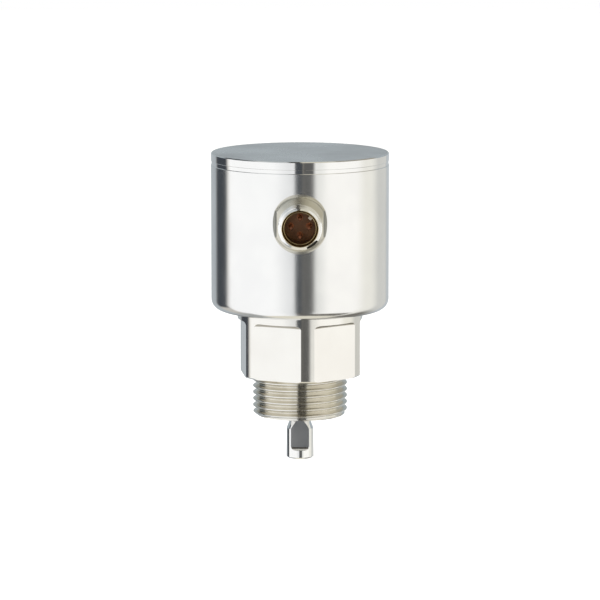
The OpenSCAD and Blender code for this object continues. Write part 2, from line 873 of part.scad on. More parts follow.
module signal_board() {
    color(board_green) difference() {
        translate([0, 0, signal_z]) cylinder(h = board_t, r = board_r);
        at_posts() translate([0, 0, signal_z - past])
            cylinder(h = board_t + 2 * past, r = screw_r + small_break);
    }
}

module coax_socket() {
    slit = 0.4;
    color(gold) difference() {
        translate([0, 0, coax_z]) cylinder(h = coax_h, r = coax_d / 2);
        translate([0, 0, coax_z - past])
            cylinder(h = coax_h + past - edge_break, r = feed_pin_r + coax_fit);
        for (turn = [0, 90])
            rotate([0, 0, turn]) translate([-coax_d, -slit / 2, coax_z - past])
                cube([2 * coax_d, slit, coax_h / 2 + past]);
    }
}

module shield_can() {
    inner = shield_side - 2 * shield_t;
    color(bright_steel) difference() {
        translate([-shield_side / 2, -shield_side / 2, signal_top_z])
            cube([shield_side, shield_side, shield_h]);
        translate([-inner / 2, -inner / 2, signal_top_z - past])
            cube([inner, inner, shield_h - shield_t + past]);
    }
}

module main_board() {
    color(board_green) difference() {
        translate([0, 0, main_z]) cylinder(h = board_t, r = board_r);
        translate([-notch_w / 2, -notch_s - board_r, main_z - past])
            cube([notch_w, board_r, board_t + 2 * past]);
        at_posts() translate([0, 0, main_z - past])
            cylinder(h = board_t + 2 * past, r = screw_r + small_break);
    }
}

module board_spacers() {
    color(bright_steel) at_posts() difference() {
        translate([0, 0, signal_top_z]) cylinder(h = spacer_h, r = spacer_r);
        translate([0, 0, signal_top_z - past])
            cylinder(h = spacer_h + 2 * past, r = screw_r + small_break);
    }
}

module board_screws() {
    color(steel) at_posts() difference() {
        union() {
            translate([0, 0, main_top_z]) cylinder(h = screw_head_h, r = screw_head_d / 2);
            translate([0, 0, main_top_z - screw_len])
                cylinder(h = screw_len + screw_head_h / 2, r = screw_r);
        }
        for (turn = [0, 90])
            rotate([0, 0, turn])
                translate([-screw_d / 2, -recess_w / 2, main_top_z + screw_head_h / 2])
                    cube([screw_d, recess_w, screw_head_h]);
    }
}

module processor() {
    mark_r = 0.5;
    color(black_plastic) difference() {
        translate([-processor_side / 2, -processor_side / 2, main_top_z])
            cube([processor_side, processor_side, processor_h]);
        translate([past - processor_side / 2, past - processor_side / 2,
                   main_top_z + processor_h - small_break])
            cylinder(h = past, r = mark_r);
    }
}

module buffer_capacitors() {
    foot_h = 0.6;
    color(bright_steel)
        for (side = [-1, 1]) translate([side * capacitor_x, 0, main_top_z]) {
            translate([-capacitor_r, -capacitor_r, 0]) cube([capacitor_d, capacitor_d, foot_h]);
            cylinder(h = capacitor_h, r = capacitor_r - small_break);
        }
}

module power_coil() {
    corner = 1.2;
    straight = coil_side - 2 * corner;
    color(black_plastic) translate([0, coil_y, main_top_z]) linear_extrude(height = coil_h) {
        square([coil_side, straight], center = true);
        square([straight, coil_side], center = true);
        for (x = [-1, 1], y = [-1, 1])
            translate([x * straight / 2, y * straight / 2]) circle(corner);
    }
}

process_connection();
rod_coupling();
probe_insulator();
insulator_seal();
rod_seal();
support_bush();
disc_spring();
coupling_nut();
pin_bush();
feed_pin();
swivel_seal();
slide_ring();
thrust_washer();
retaining_ring();
housing();
lid();
lid_seal();
connector_sleeve();
contact_carrier();
carrier_seal();
carrier_ring();
contact_pin(0);  // contact_pin_1
contact_pin(1);  // contact_pin_2
contact_pin(2);  // contact_pin_3
contact_pin(3);  // contact_pin_4
end_board();
flex_ribbon();
ribbon_header();
board_carrier();
signal_board();
coax_socket();
shield_can();
main_board();
board_spacers();
board_screws();
processor();
buffer_capacitors();
power_coil();
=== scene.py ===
"""Studio scene of a compact radar level sensor, dressed around its packed construction.

Lengths are millimetres in the part's frame: +Z up the thread axis, plug connector towards -Y.
Meshes are stored in metres, each with its object at the origin.
"""

import functools
import json
import logging
import math
from collections.abc import Callable, Sequence
from dataclasses import dataclass, field
from enum import Enum

import bmesh
import bpy
from mathutils import Matrix, Vector


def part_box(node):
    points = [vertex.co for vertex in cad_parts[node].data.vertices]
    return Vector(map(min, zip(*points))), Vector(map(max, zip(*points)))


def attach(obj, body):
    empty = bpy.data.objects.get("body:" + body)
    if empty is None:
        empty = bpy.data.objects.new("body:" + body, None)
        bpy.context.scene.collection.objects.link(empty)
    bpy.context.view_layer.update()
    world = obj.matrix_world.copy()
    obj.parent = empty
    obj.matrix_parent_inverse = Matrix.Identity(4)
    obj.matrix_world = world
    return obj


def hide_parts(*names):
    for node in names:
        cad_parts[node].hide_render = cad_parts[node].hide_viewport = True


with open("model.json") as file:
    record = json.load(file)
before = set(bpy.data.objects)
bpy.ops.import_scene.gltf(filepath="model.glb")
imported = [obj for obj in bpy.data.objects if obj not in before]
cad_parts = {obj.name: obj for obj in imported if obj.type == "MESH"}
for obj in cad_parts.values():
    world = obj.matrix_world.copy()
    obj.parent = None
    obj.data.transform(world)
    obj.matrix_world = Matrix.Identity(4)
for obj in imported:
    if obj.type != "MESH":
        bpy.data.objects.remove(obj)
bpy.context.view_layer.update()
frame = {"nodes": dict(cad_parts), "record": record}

MM = 0.001
TURN = 2 * math.pi
SHARP_ANGLE = math.radians(18)
# Points nearer than this are merged, and a support point stands this far from its corner.
MERGE_DISTANCE = 0.0008
SUPPORT = 0.12

log = logging.getLogger("sensor")

Colour = tuple[float, float, float]
Place = tuple[float, float, float]
Pair = tuple[float, float]
Point = tuple[float, float]
Outline = list[Point]
Groove = tuple[float, float, float]
Piece = bpy.types.Object
Face = bpy.types.MeshPolygon
Socket = bpy.types.NodeSocket
Kinds = dict[str, str]


class Body(Enum):
    """The two bodies of the sensor."""

    FITTING = "process_fitting"
    HEAD = "sensor_head"


class Lay(Enum):
    """Direction in which a tool or a mould has marked a surface."""

    TURNED = "turned"
    GROUND = "ground"
    PLAIN = "plain"


def extent(node: str) -> tuple[Vector, Vector]:
    """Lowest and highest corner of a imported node, in millimetres."""
    low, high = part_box(node)
    return low / MM, high / MM


def arc(centre: Point, radius: float, start: float, end: float, steps: int) -> Outline:
    """Points on a circular arc, with both ends.

    Args:
        centre: centre of the arc, as radius and height.
        radius: radius of the arc.
        start: first angle in degrees, from the outward direction.
        end: last angle in degrees.
        steps: number of chords.

    Returns:
        The points in order.
    """
    points = []
    for i in range(steps + 1):
        angle = math.radians(start + (end - start) * i / steps)
        points.append((centre[0] + radius * math.cos(angle), centre[1] + radius * math.sin(angle)))
    return points


def supported(outline: Outline) -> Outline:
    """Adds a point close to both ends of each long stretch, so that flat stretches shade flat.

    Args:
        outline: closed outline.

    Returns:
        The outline with its support points.
    """
    points: Outline = []
    for (r0, z0), (r1, z1) in zip(outline, outline[1:] + outline[:1]):
        points.append((r0, z0))
        length = math.hypot(r1 - r0, z1 - z0)
        if length > 4 * SUPPORT:
            share = SUPPORT / length
            points.append((r0 + (r1 - r0) * share, z0 + (z1 - z0) * share))
            points.append((r1 - (r1 - r0) * share, z1 - (z1 - z0) * share))
    return points


def blend(start: Point, corner: Point, end: Point, steps: int) -> Outline:
    """Points of a smooth bend that replaces a corner.

    Args:
        start: first point of the bend.
        corner: the corner that it replaces.
        end: last point of the bend.
        steps: number of chords.

    Returns:
        The points in order, with both ends.
    """
    points = []
    for i in range(steps + 1):
        t = i / steps
        shares = ((1 - t) ** 2, 2 * t * (1 - t), t ** 2)
        radius, height = (sum(s * p[k] for s, p in zip(shares, (start, corner, end))) for k in (0, 1))
        points.append((radius, height))
    return points


def end_radius(flat: float, bar_r: float, end_r: float, cosine: float, steps: int) -> Outline:
    """The radius that a cutter leaves at the end of a flat, up to where it runs out of the round bar.

    Args:
        flat: distance of the flat from the axis.
        bar_r: radius of the bar.
        end_r: radius at the flat's end.
        cosine: cosine of the angle from the middle of the flat.
        steps: number of chords.

    Returns:
        Points from the flat to the bar's surface, with their heights above the flat's end.
    """
    last = math.acos(min(max(1 - (bar_r * cosine - flat) / end_r, 0.0), 1.0))
    points = []
    for i in range(steps + 1):
        angle = last * i / steps
        distance = flat + end_r * (1 - math.cos(angle))
        points.append((min(distance / cosine, bar_r), end_r * math.sin(angle)))
    return points


def ring_groove(wall_r: float, groove: Groove) -> Outline:
    """Points of a ring groove, given by the radius of its floor and its two heights, in a round wall."""
    floor_r, low, high = groove
    return [(wall_r, low), (floor_r, low), (floor_r, high), (wall_r, high)]


def mount_of(name: str) -> dict:
    """The record's mount of a name."""
    return next(mount for mount in frame["record"]["mounts"] if mount["name"] == name)


def connector_place(axis_z: float, units: float = 1.0) -> Matrix:
    """Turns a piece made along Z to the connector's axis, with so many of its units to a millimetre."""
    return Matrix.Translation((0, 0, axis_z * units)) @ Matrix.Rotation(math.radians(90), 4, "X")


def spaced(start: float, span: float, count: int) -> list[float]:
    """Evenly spaced values over a span, with its start and without its end."""
    return [start + span * i / count for i in range(count)]


def even_angles(count: int) -> list[float]:
    """Angles of evenly spaced columns over a whole turn, with the start again at the end."""
    return [TURN * i / count for i in range(count + 1)]


def mark_edges(mesh: bpy.types.Mesh) -> None:
    """Shades a mesh smooth, apart from its sharp edges.

    Args:
        mesh: mesh to shade.
    """
    shape = bmesh.new()
    shape.from_mesh(mesh)
    for face in shape.faces:
        face.smooth = True
    for edge in shape.edges:
        if len(edge.link_faces) == 2:
            edge.smooth = edge.calc_face_angle(0.0) < SHARP_ANGLE
    shape.to_mesh(mesh)
    shape.free()


def linked(name: str, data: bpy.types.ID) -> Piece:
    """Makes an object and puts it into the scene.

    Args:
        name: name of the object.
        data: its mesh, camera or light.

    Returns:
        The object.
    """
    made = bpy.data.objects.new(name, data)
    bpy.context.scene.collection.objects.link(made)
    return made


def turned_object(
    name: str, column: Callable[[float], Outline], angles: Sequence[float], place: Matrix | None = None
) -> Piece:
    """Revolves an outline that may change with the angle, as on a milled turned part.

    Args:
        name: name of the object.
        column: gives the closed outline at an angle, always with as many points.
        angles: angles of the columns, the last a whole turn after the first.
        place: turns and moves the finished mesh, in millimetres.

    Returns:
        A linked object at the origin with a closed mesh in metres.
    """
    vertices, faces = [], []
    for angle in angles:
        outline = column(angle)
        vertices += [(r * math.cos(angle), r * math.sin(angle), height) for r, height in outline]
    rows = len(outline)
    for i in range(len(angles) - 1):
        for j in range(rows):
            k = (j + 1) % rows
            faces.append((i * rows + j, (i + 1) * rows + j, (i + 1) * rows + k, i * rows + k))
    mesh = bpy.data.meshes.new(name)
    mesh.from_pydata(vertices, [], faces)
    shape = bmesh.new()
    shape.from_mesh(mesh)
    bmesh.ops.remove_doubles(shape, verts=shape.verts, dist=MERGE_DISTANCE)
    bmesh.ops.dissolve_degenerate(shape, edges=shape.edges, dist=MERGE_DISTANCE / 2)
    bmesh.ops.recalc_face_normals(shape, faces=shape.faces)
    shape.to_mesh(mesh)
    shape.free()
    mesh.transform(Matrix.Scale(MM, 4) @ (place or Matrix.Identity(4)))
    mark_edges(mesh)
    return linked(name, mesh)


def applied(piece: Piece, modifier: bpy.types.Modifier) -> Piece:
    """Keeps a modifier's result as a plain mesh.

    Args:
        piece: object with the modifier.
        modifier: its only modifier.

    Returns:
        The same object with the new mesh and no modifier.
    """
    bpy.context.view_layer.update()
    graph = bpy.context.evaluated_depsgraph_get()
    mesh = bpy.data.meshes.new_from_object(piece.evaluated_get(graph), depsgraph=graph)
    piece.modifiers.remove(modifier)
    piece.data = mesh
    return piece


class Graph:
    """A node tree with short calls for its nodes and links."""

    def __init__(
        self, tree: bpy.types.NodeTree, inputs: Kinds | None = None, outputs: Kinds | None = None
    ) -> None:
        """Empties the tree and gives it its sockets.

        Args:
            tree: tree of a material, a world or a node group.
            inputs: a group's inputs with their kinds, such as Float.
            outputs: a group's outputs with their kinds.
        """
        self.tree = tree
        tree.nodes.clear()
        for way, sockets in (("INPUT", inputs), ("OUTPUT", outputs)):
            for name, kind in (sockets or {}).items():
                tree.interface.new_socket(name=name, in_out=way, socket_type=f"NodeSocket{kind}")
        self.given = self.node("NodeGroupInput").outputs if inputs else {}

    def node(
        self, kind: str, inputs: dict[str | int, object] | None = None, **settings: object
    ) -> bpy.types.Node:
        """Adds a node.

        Args:
            kind: Blender's name of the node type.
            inputs: values or sockets for its inputs, by name or number.
            settings: attributes of the node itself.

        Returns:
            The node.
        """
        made = self.tree.nodes.new(kind)
        for key, value in settings.items():
            setattr(made, key, value)
        for key, value in (inputs or {}).items():
            self.feed(made.inputs[key], value)
        return made

    def feed(self, socket: Socket, value: object) -> None:
        """Links a socket to an input, or sets the input's own value.

        Args:
            socket: the input.
            value: the socket to link, or a plain value.
        """
        if isinstance(value, Socket):
            self.tree.links.new(value, socket)
        elif socket.type == "RGBA" and len(value) == 3:
            socket.default_value = (*value, 1.0)
        else:
            socket.default_value = value

    def math(self, operation: str, *values: object) -> Socket:
        """Adds a Math node and returns its result."""
        return self.node("ShaderNodeMath", dict(enumerate(values)), operation=operation).outputs[0]

    def minus(self, first: object, second: object) -> Socket:
        """Returns the first value less the second."""
        return self.math("SUBTRACT", first, second)

    def product(self, *values: object) -> Socket:
        """Returns the product of all values."""
        return functools.reduce(lambda first, second: self.math("MULTIPLY", first, second), values)

    def vector(self, x: object, y: object, z: object) -> Socket:
        """Adds a Combine XYZ node and returns its vector."""
        return self.node("ShaderNodeCombineXYZ", {0: x, 1: y, 2: z}).outputs[0]

    def split(self, vector: Socket) -> list[Socket]:
        """Adds a Separate XYZ node and returns its three numbers."""
        return list(self.node("ShaderNodeSeparateXYZ", {0: vector}).outputs)

    def from_axis(self, x: Socket, y: Socket) -> Socket:
        """Returns the distance of a place from the Z axis."""
        return self.math("SQRT", self.math("ADD", self.product(x, x), self.product(y, y)))

    def mix(self, share: object, first: object, second: object) -> Socket:
        """Adds a colour Mix node and returns its result."""
        return self.node("ShaderNodeMix", {0: share, 6: first, 7: second}, data_type="RGBA").outputs[2]

    def smooth_step(self, value: object, low: object, high: object) -> Socket:
        """Adds a smooth rise from 0 to 1.

        Args:
            value: number that the rise follows.
            low: up to here the result is 0.
            high: from here the result is 1.

        Returns:
            The result.
        """
        inputs = {"Value": value, "From Min": low, "From Max": high, "To Min": 0.0, "To Max": 1.0}
        made = self.node("ShaderNodeMapRange", inputs, interpolation_type="SMOOTHSTEP", clamp=True)
        return made.outputs["Result"]

    def hand_out(self, geometry: Socket, name: str) -> None:
        """Ends a Geometry Nodes tree with real copies in the given finish.

        Args:
            geometry: what the tree has made.
            name: name of the tree's output.
        """
        real = self.node("GeometryNodeRealizeInstances", {0: geometry}).outputs[0]
        dressed = self.node("GeometryNodeSetMaterial", {"Geometry": real, "Material": self.given["Finish"]})
        self.node("NodeGroupOutput", {name: dressed.outputs[0]})

    def run(self, base: Piece, values: dict[str, object]) -> Piece:
        """Runs a Geometry Nodes tree on an object and keeps its result as a plain mesh.

        Args:
            base: object that the tree starts from.
            values: values of the tree's inputs, by name.

        Returns:
            The same object with the new mesh and no modifier.
        """
        modifier = base.modifiers.new(self.tree.name, "NODES")
        modifier.node_group = self.tree
        for socket in self.tree.interface.items_tree:
            if socket.in_out == "INPUT" and socket.name in values:
                modifier[socket.identifier] = values[socket.name]
        return applied(base, modifier)


@dataclass(frozen=True)
class ThreadForm:
    """Sizes of a cut thread.

    The turned blank carries rows of points along the helix, so that crests and roots come out straight.
    """

    major_r: float
    pitch: float
    depth: float
    flat: float
    start: float
    end: float
    run_out: float
    offset: float
    rows_per_turn: int = 16

    def rows(self, angle: float) -> list[float]:
        """Heights of the blank's points at an angle.

        Args:
            angle: angle of the column, from 0 to a whole turn.

        Returns:
            Heights along the helix, held between the start and the end of the thread.
        """
        first = math.floor((self.start - self.offset) / self.pitch) - 1
        turns = math.ceil((self.end - self.offset) / self.pitch) - first + 1
        lead = self.offset + self.pitch * (first + angle / TURN)
        count = turns * self.rows_per_turn
        heights = [lead + self.pitch * j / self.rows_per_turn for j in range(count + 1)]
        return [min(max(height, self.start), self.end) for height in heights]

    def inputs(self) -> dict[str, float]:
        """Values for the thread cutter, with the lengths in metres.

        Returns:
            The values by the names of the cutter's inputs.
        """
        lengths = {
            "Major radius": self.major_r, "Pitch": self.pitch, "Depth": self.depth, "Start": self.start,
            "End": self.end, "Run out": self.run_out, "Offset": self.offset,
        }
        return {name: length * MM for name, length in lengths.items()} | {"Flat": self.flat}


class ThreadCutter:
    """Geometry Nodes that cut a thread into a turned blank, with the thread's axis on Z."""

    NUMBERS = ("Major radius", "Pitch", "Depth", "Start", "End", "Run out", "Offset", "Flat")
    CLOSE = 0.001 * MM

    def __init__(self) -> None:
        """Builds the node tree once."""
        tree = bpy.data.node_groups.new("thread_cutter", "GeometryNodeTree")
        inputs = {"Blank": "Geometry", **dict.fromkeys(self.NUMBERS, "Float"), "Finish": "Material"}
        self.graph = graph = Graph(tree, inputs, {"Threaded": "Geometry"})
        numbers = (graph.given[name] for name in self.NUMBERS)
        major, pitch, depth, start, end, run_out, offset, flat = numbers
        x, y, z = graph.split(graph.node("GeometryNodeInputPosition").outputs[0])
        radius = graph.from_axis(x, y)
        turn = graph.math("DIVIDE", graph.math("ARCTAN2", y, x), TURN)
        lead = graph.math("DIVIDE", graph.minus(z, offset), pitch)
        phase = graph.math("FRACT", graph.minus(lead, turn))
        from_crest = graph.minus(1.0, graph.math("ABSOLUTE", graph.minus(graph.product(phase, 2.0), 1.0)))
        share = graph.smooth_step(from_crest, flat, graph.minus(1.0, flat))
        fade = graph.smooth_step(graph.minus(end, z), 0.0, run_out)
        cut = graph.product(share, depth, fade)
        scale = graph.math("DIVIDE", graph.math("MINIMUM", radius, graph.minus(major, cut)), radius)
        place = graph.vector(graph.product(x, scale), graph.product(y, scale), z)
        above = graph.math("GREATER_THAN", z, graph.minus(start, self.CLOSE))
        below = graph.math("LESS_THAN", z, graph.minus(end, self.CLOSE))
        outside = graph.math("GREATER_THAN", radius, graph.minus(major, graph.product(depth, 2.0)))
        chosen = graph.product(above, below, outside)
        moved = {"Geometry": graph.given["Blank"], "Selection": chosen, "Position": place}
        graph.hand_out(graph.node("GeometryNodeSetPosition", moved).outputs[0], "Threaded")

    def cut(self, blank: Piece, thread: ThreadForm, finish: bpy.types.Material) -> Piece:
        """Cuts a thread into a blank, which is used up, and gives the whole piece a finish."""
        return self.graph.run(blank, {**thread.inputs(), "Finish": finish})


class PinRing:
    """Geometry Nodes that set copies of one pin on a circle round the Z axis."""

    def __init__(self) -> None:
        """Builds the node tree once."""
        tree = bpy.data.node_groups.new("pin_ring", "GeometryNodeTree")
        inputs = {"Pin": "Geometry", "Count": "Int", "Circle radius": "Float", "Finish": "Material"}
        self.graph = graph = Graph(tree, inputs, {"Pins": "Geometry"})
        circle = {"Vertices": graph.given["Count"], "Radius": graph.given["Circle radius"]}
        points = graph.node("GeometryNodeMeshCircle", circle).outputs[0]
        inputs = {"Points": points, "Instance": graph.given["Pin"]}
        graph.hand_out(graph.node("GeometryNodeInstanceOnPoints", inputs).outputs[0], "Pins")


class SurfaceEffects:
    """Shader node groups that several finishes share."""

    LAY_DETAIL = 3.0
    LAY_ROUGHNESS = 0.6
    TURNED_STRETCH = 0.004
    GROUND_STRETCH = 0.03
    CLOUD_DETAIL = 4.0
    CLOUD_ROUGHNESS = 0.55
    CLOUD_EDGES = (0.3, 0.7)
    # Size and place of the painted glow round each pin's foot.
    SPOT_CIRCLE = 2.5
    SPOT_RADIUS = 1.15
    SPOT_CORE = 0.3

    def __init__(self) -> None:
        """Builds the groups."""
        self.lays = {
            Lay.TURNED: self.lay_group("turned_lay", self.turned_coordinates),
            Lay.GROUND: self.lay_group("ground_lay", self.ground_coordinates),
            Lay.PLAIN: self.lay_group("plain_grain", lambda graph: graph.given["Place"]),
        }
        self.tone = self.tone_group()
        self.spots = self.spot_group()

    def group(self, name: str, number: str, output: str) -> Graph:
        """Makes an empty group with a Place vector and a named number as inputs, and one output."""
        tree = bpy.data.node_groups.new(name, "ShaderNodeTree")
        return Graph(tree, {"Place": "Vector", number: "Float"}, {output: "Float"})

    def turned_coordinates(self, graph: Graph) -> Socket:
        """Coordinates that run along and across the marks of a turning tool.

        Args:
            graph: graph of the group, whose place has the turning axis on Z.

        Returns:
            A vector whose first number changes across the marks.
        """
        x, y, z = graph.split(graph.given["Place"])
        across = graph.math("ADD", graph.from_axis(x, y), z)
        return graph.vector(across, *(graph.product(side, self.TURNED_STRETCH) for side in (x, y)))

    def ground_coordinates(self, graph: Graph) -> Socket:
        """Coordinates that change slowly along X, the way of straight grinding marks."""
        x, y, z = graph.split(graph.given["Place"])
        return graph.vector(graph.product(x, self.GROUND_STRETCH), y, z)

    def lay_group(self, name: str, coordinates: Callable[[Graph], Socket]) -> bpy.types.ShaderNodeTree:
        """A group that gives the relief of a marked surface.

        Args:
            name: name of the group.
            coordinates: turns the place into coordinates along and across the marks.

        Returns:
            The group, with a Relief output around one half.
        """
        graph = self.group(name, "Marks", "Relief")
        inputs = {"Vector": coordinates(graph), "Scale": graph.given["Marks"]}
        inputs |= {"Detail": self.LAY_DETAIL, "Roughness": self.LAY_ROUGHNESS}
        graph.node("NodeGroupOutput", {"Relief": graph.node("ShaderNodeTexNoise", inputs).outputs[0]})
        return graph.tree

    def tone_group(self) -> bpy.types.ShaderNodeTree:
        """A group that gives slow, cloudy changes of tone over a surface.

        Returns:
            The group, with a Cloud output from 0 to 1.
        """
        graph = self.group("cloudy_tone", "Size", "Cloud")
        inputs = {"Vector": graph.given["Place"], "Scale": graph.given["Size"]}
        inputs |= {"Detail": self.CLOUD_DETAIL, "Roughness": self.CLOUD_ROUGHNESS}
        noise = graph.node("ShaderNodeTexNoise", inputs).outputs[0]
        graph.node("NodeGroupOutput", {"Cloud": graph.smooth_step(noise, *self.CLOUD_EDGES)})
        return graph.tree

    def spot_group(self) -> bpy.types.ShaderNodeTree:
        """A group that marks four round spots on the two axes across Z, for a painted glow round the
        connector's pins.

        Returns:
            The group, with a Spot output of 1 in the middle of each spot.
        """
        graph = self.group("four_painted_glow_spots", "Circle radius", "Spot")
        x, y, _ = graph.split(graph.given["Place"])
        sides = [graph.math("ABSOLUTE", side) for side in (x, y)]
        wide, narrow = (graph.math(choice, *sides) for choice in ("MAXIMUM", "MINIMUM"))
        offset = graph.vector(graph.minus(wide, graph.given["Circle radius"]), narrow, 0.0)
        distance = graph.node("ShaderNodeVectorMath", {0: offset}, operation="LENGTH").outputs["Value"]
        share = graph.math("DIVIDE", distance, self.SPOT_RADIUS * MM)
        beyond = graph.smooth_step(share, self.SPOT_CORE, 1.0)
        graph.node("NodeGroupOutput", {"Spot": graph.minus(1.0, beyond)})
        return graph.tree


@dataclass(frozen=True)
class Finish:
    """A surface as it comes from its process, some with painted light or shade in their colours."""

    name: str
    light: Colour
    dark: Colour
    metallic: float = 0.0
    rough_low: float = 0.3
    rough_high: float = 0.4
    lay: Lay = Lay.PLAIN
    marks: float = 4000.0
    relief: float = 0.004
    cloud_size: float = 90.0
    clear: float = 0.0
    clear_rough: float = 0.08
    turn_x: float = 0.0
    centre: Place = (0.0, 0.0, 0.0)
    # Colour of a painted glow of light round the connector's pins, if any.
    painted_glow: Colour | None = None

    def material(self, effects: SurfaceEffects) -> bpy.types.Material:
        """Builds the finish's material.

        Args:
            effects: shared shader groups.

        Returns:
            A node material that reads Object coordinates.
        """
        made = bpy.data.materials.new(self.name)
        made.use_nodes = True
        made.diffuse_color = (*self.light, 1.0)
        graph = Graph(made.node_tree)
        place = graph.node("ShaderNodeTexCoord").outputs["Object"]
        if self.turn_x or any(self.centre):
            shift = {"Location": [-c * MM for c in self.centre]}
            for step in (shift, {"Rotation": (math.radians(self.turn_x), 0.0, 0.0)}):
                place = graph.node("ShaderNodeMapping", {"Vector": place, **step}).outputs[0]
        marks = {"Place": place, "Marks": self.marks}
        lay = graph.node("ShaderNodeGroup", marks, node_tree=effects.lays[self.lay])
        cloud = {"Place": place, "Size": self.cloud_size}
        share = graph.node("ShaderNodeGroup", cloud, node_tree=effects.tone).outputs["Cloud"]
        colour = graph.mix(share, self.light, self.dark)
        # Painted glow: reddish spots of light round the pins' feet.
        if self.painted_glow:
            circle = {"Place": place, "Circle radius": effects.SPOT_CIRCLE * MM}
            spots = graph.node("ShaderNodeGroup", circle, node_tree=effects.spots)
            colour = graph.mix(spots.outputs["Spot"], colour, self.painted_glow)
        spread = {"Value": share, "To Min": self.rough_low, "To Max": self.rough_high}
        bump = {"Height": lay.outputs["Relief"], "Strength": 1.0, "Distance": self.relief * MM}
        surface = graph.node("ShaderNodeBsdfPrincipled", {
            "Base Color": colour,
            "Metallic": self.metallic,
            "Roughness": graph.node("ShaderNodeMapRange", spread).outputs["Result"],
            "Normal": graph.node("ShaderNodeBump", bump).outputs[0],
            "Coat Weight": self.clear,
            "Coat Roughness": self.clear_rough,
        })
        graph.node("ShaderNodeOutputMaterial", {"Surface": surface.outputs[0]})
        return made


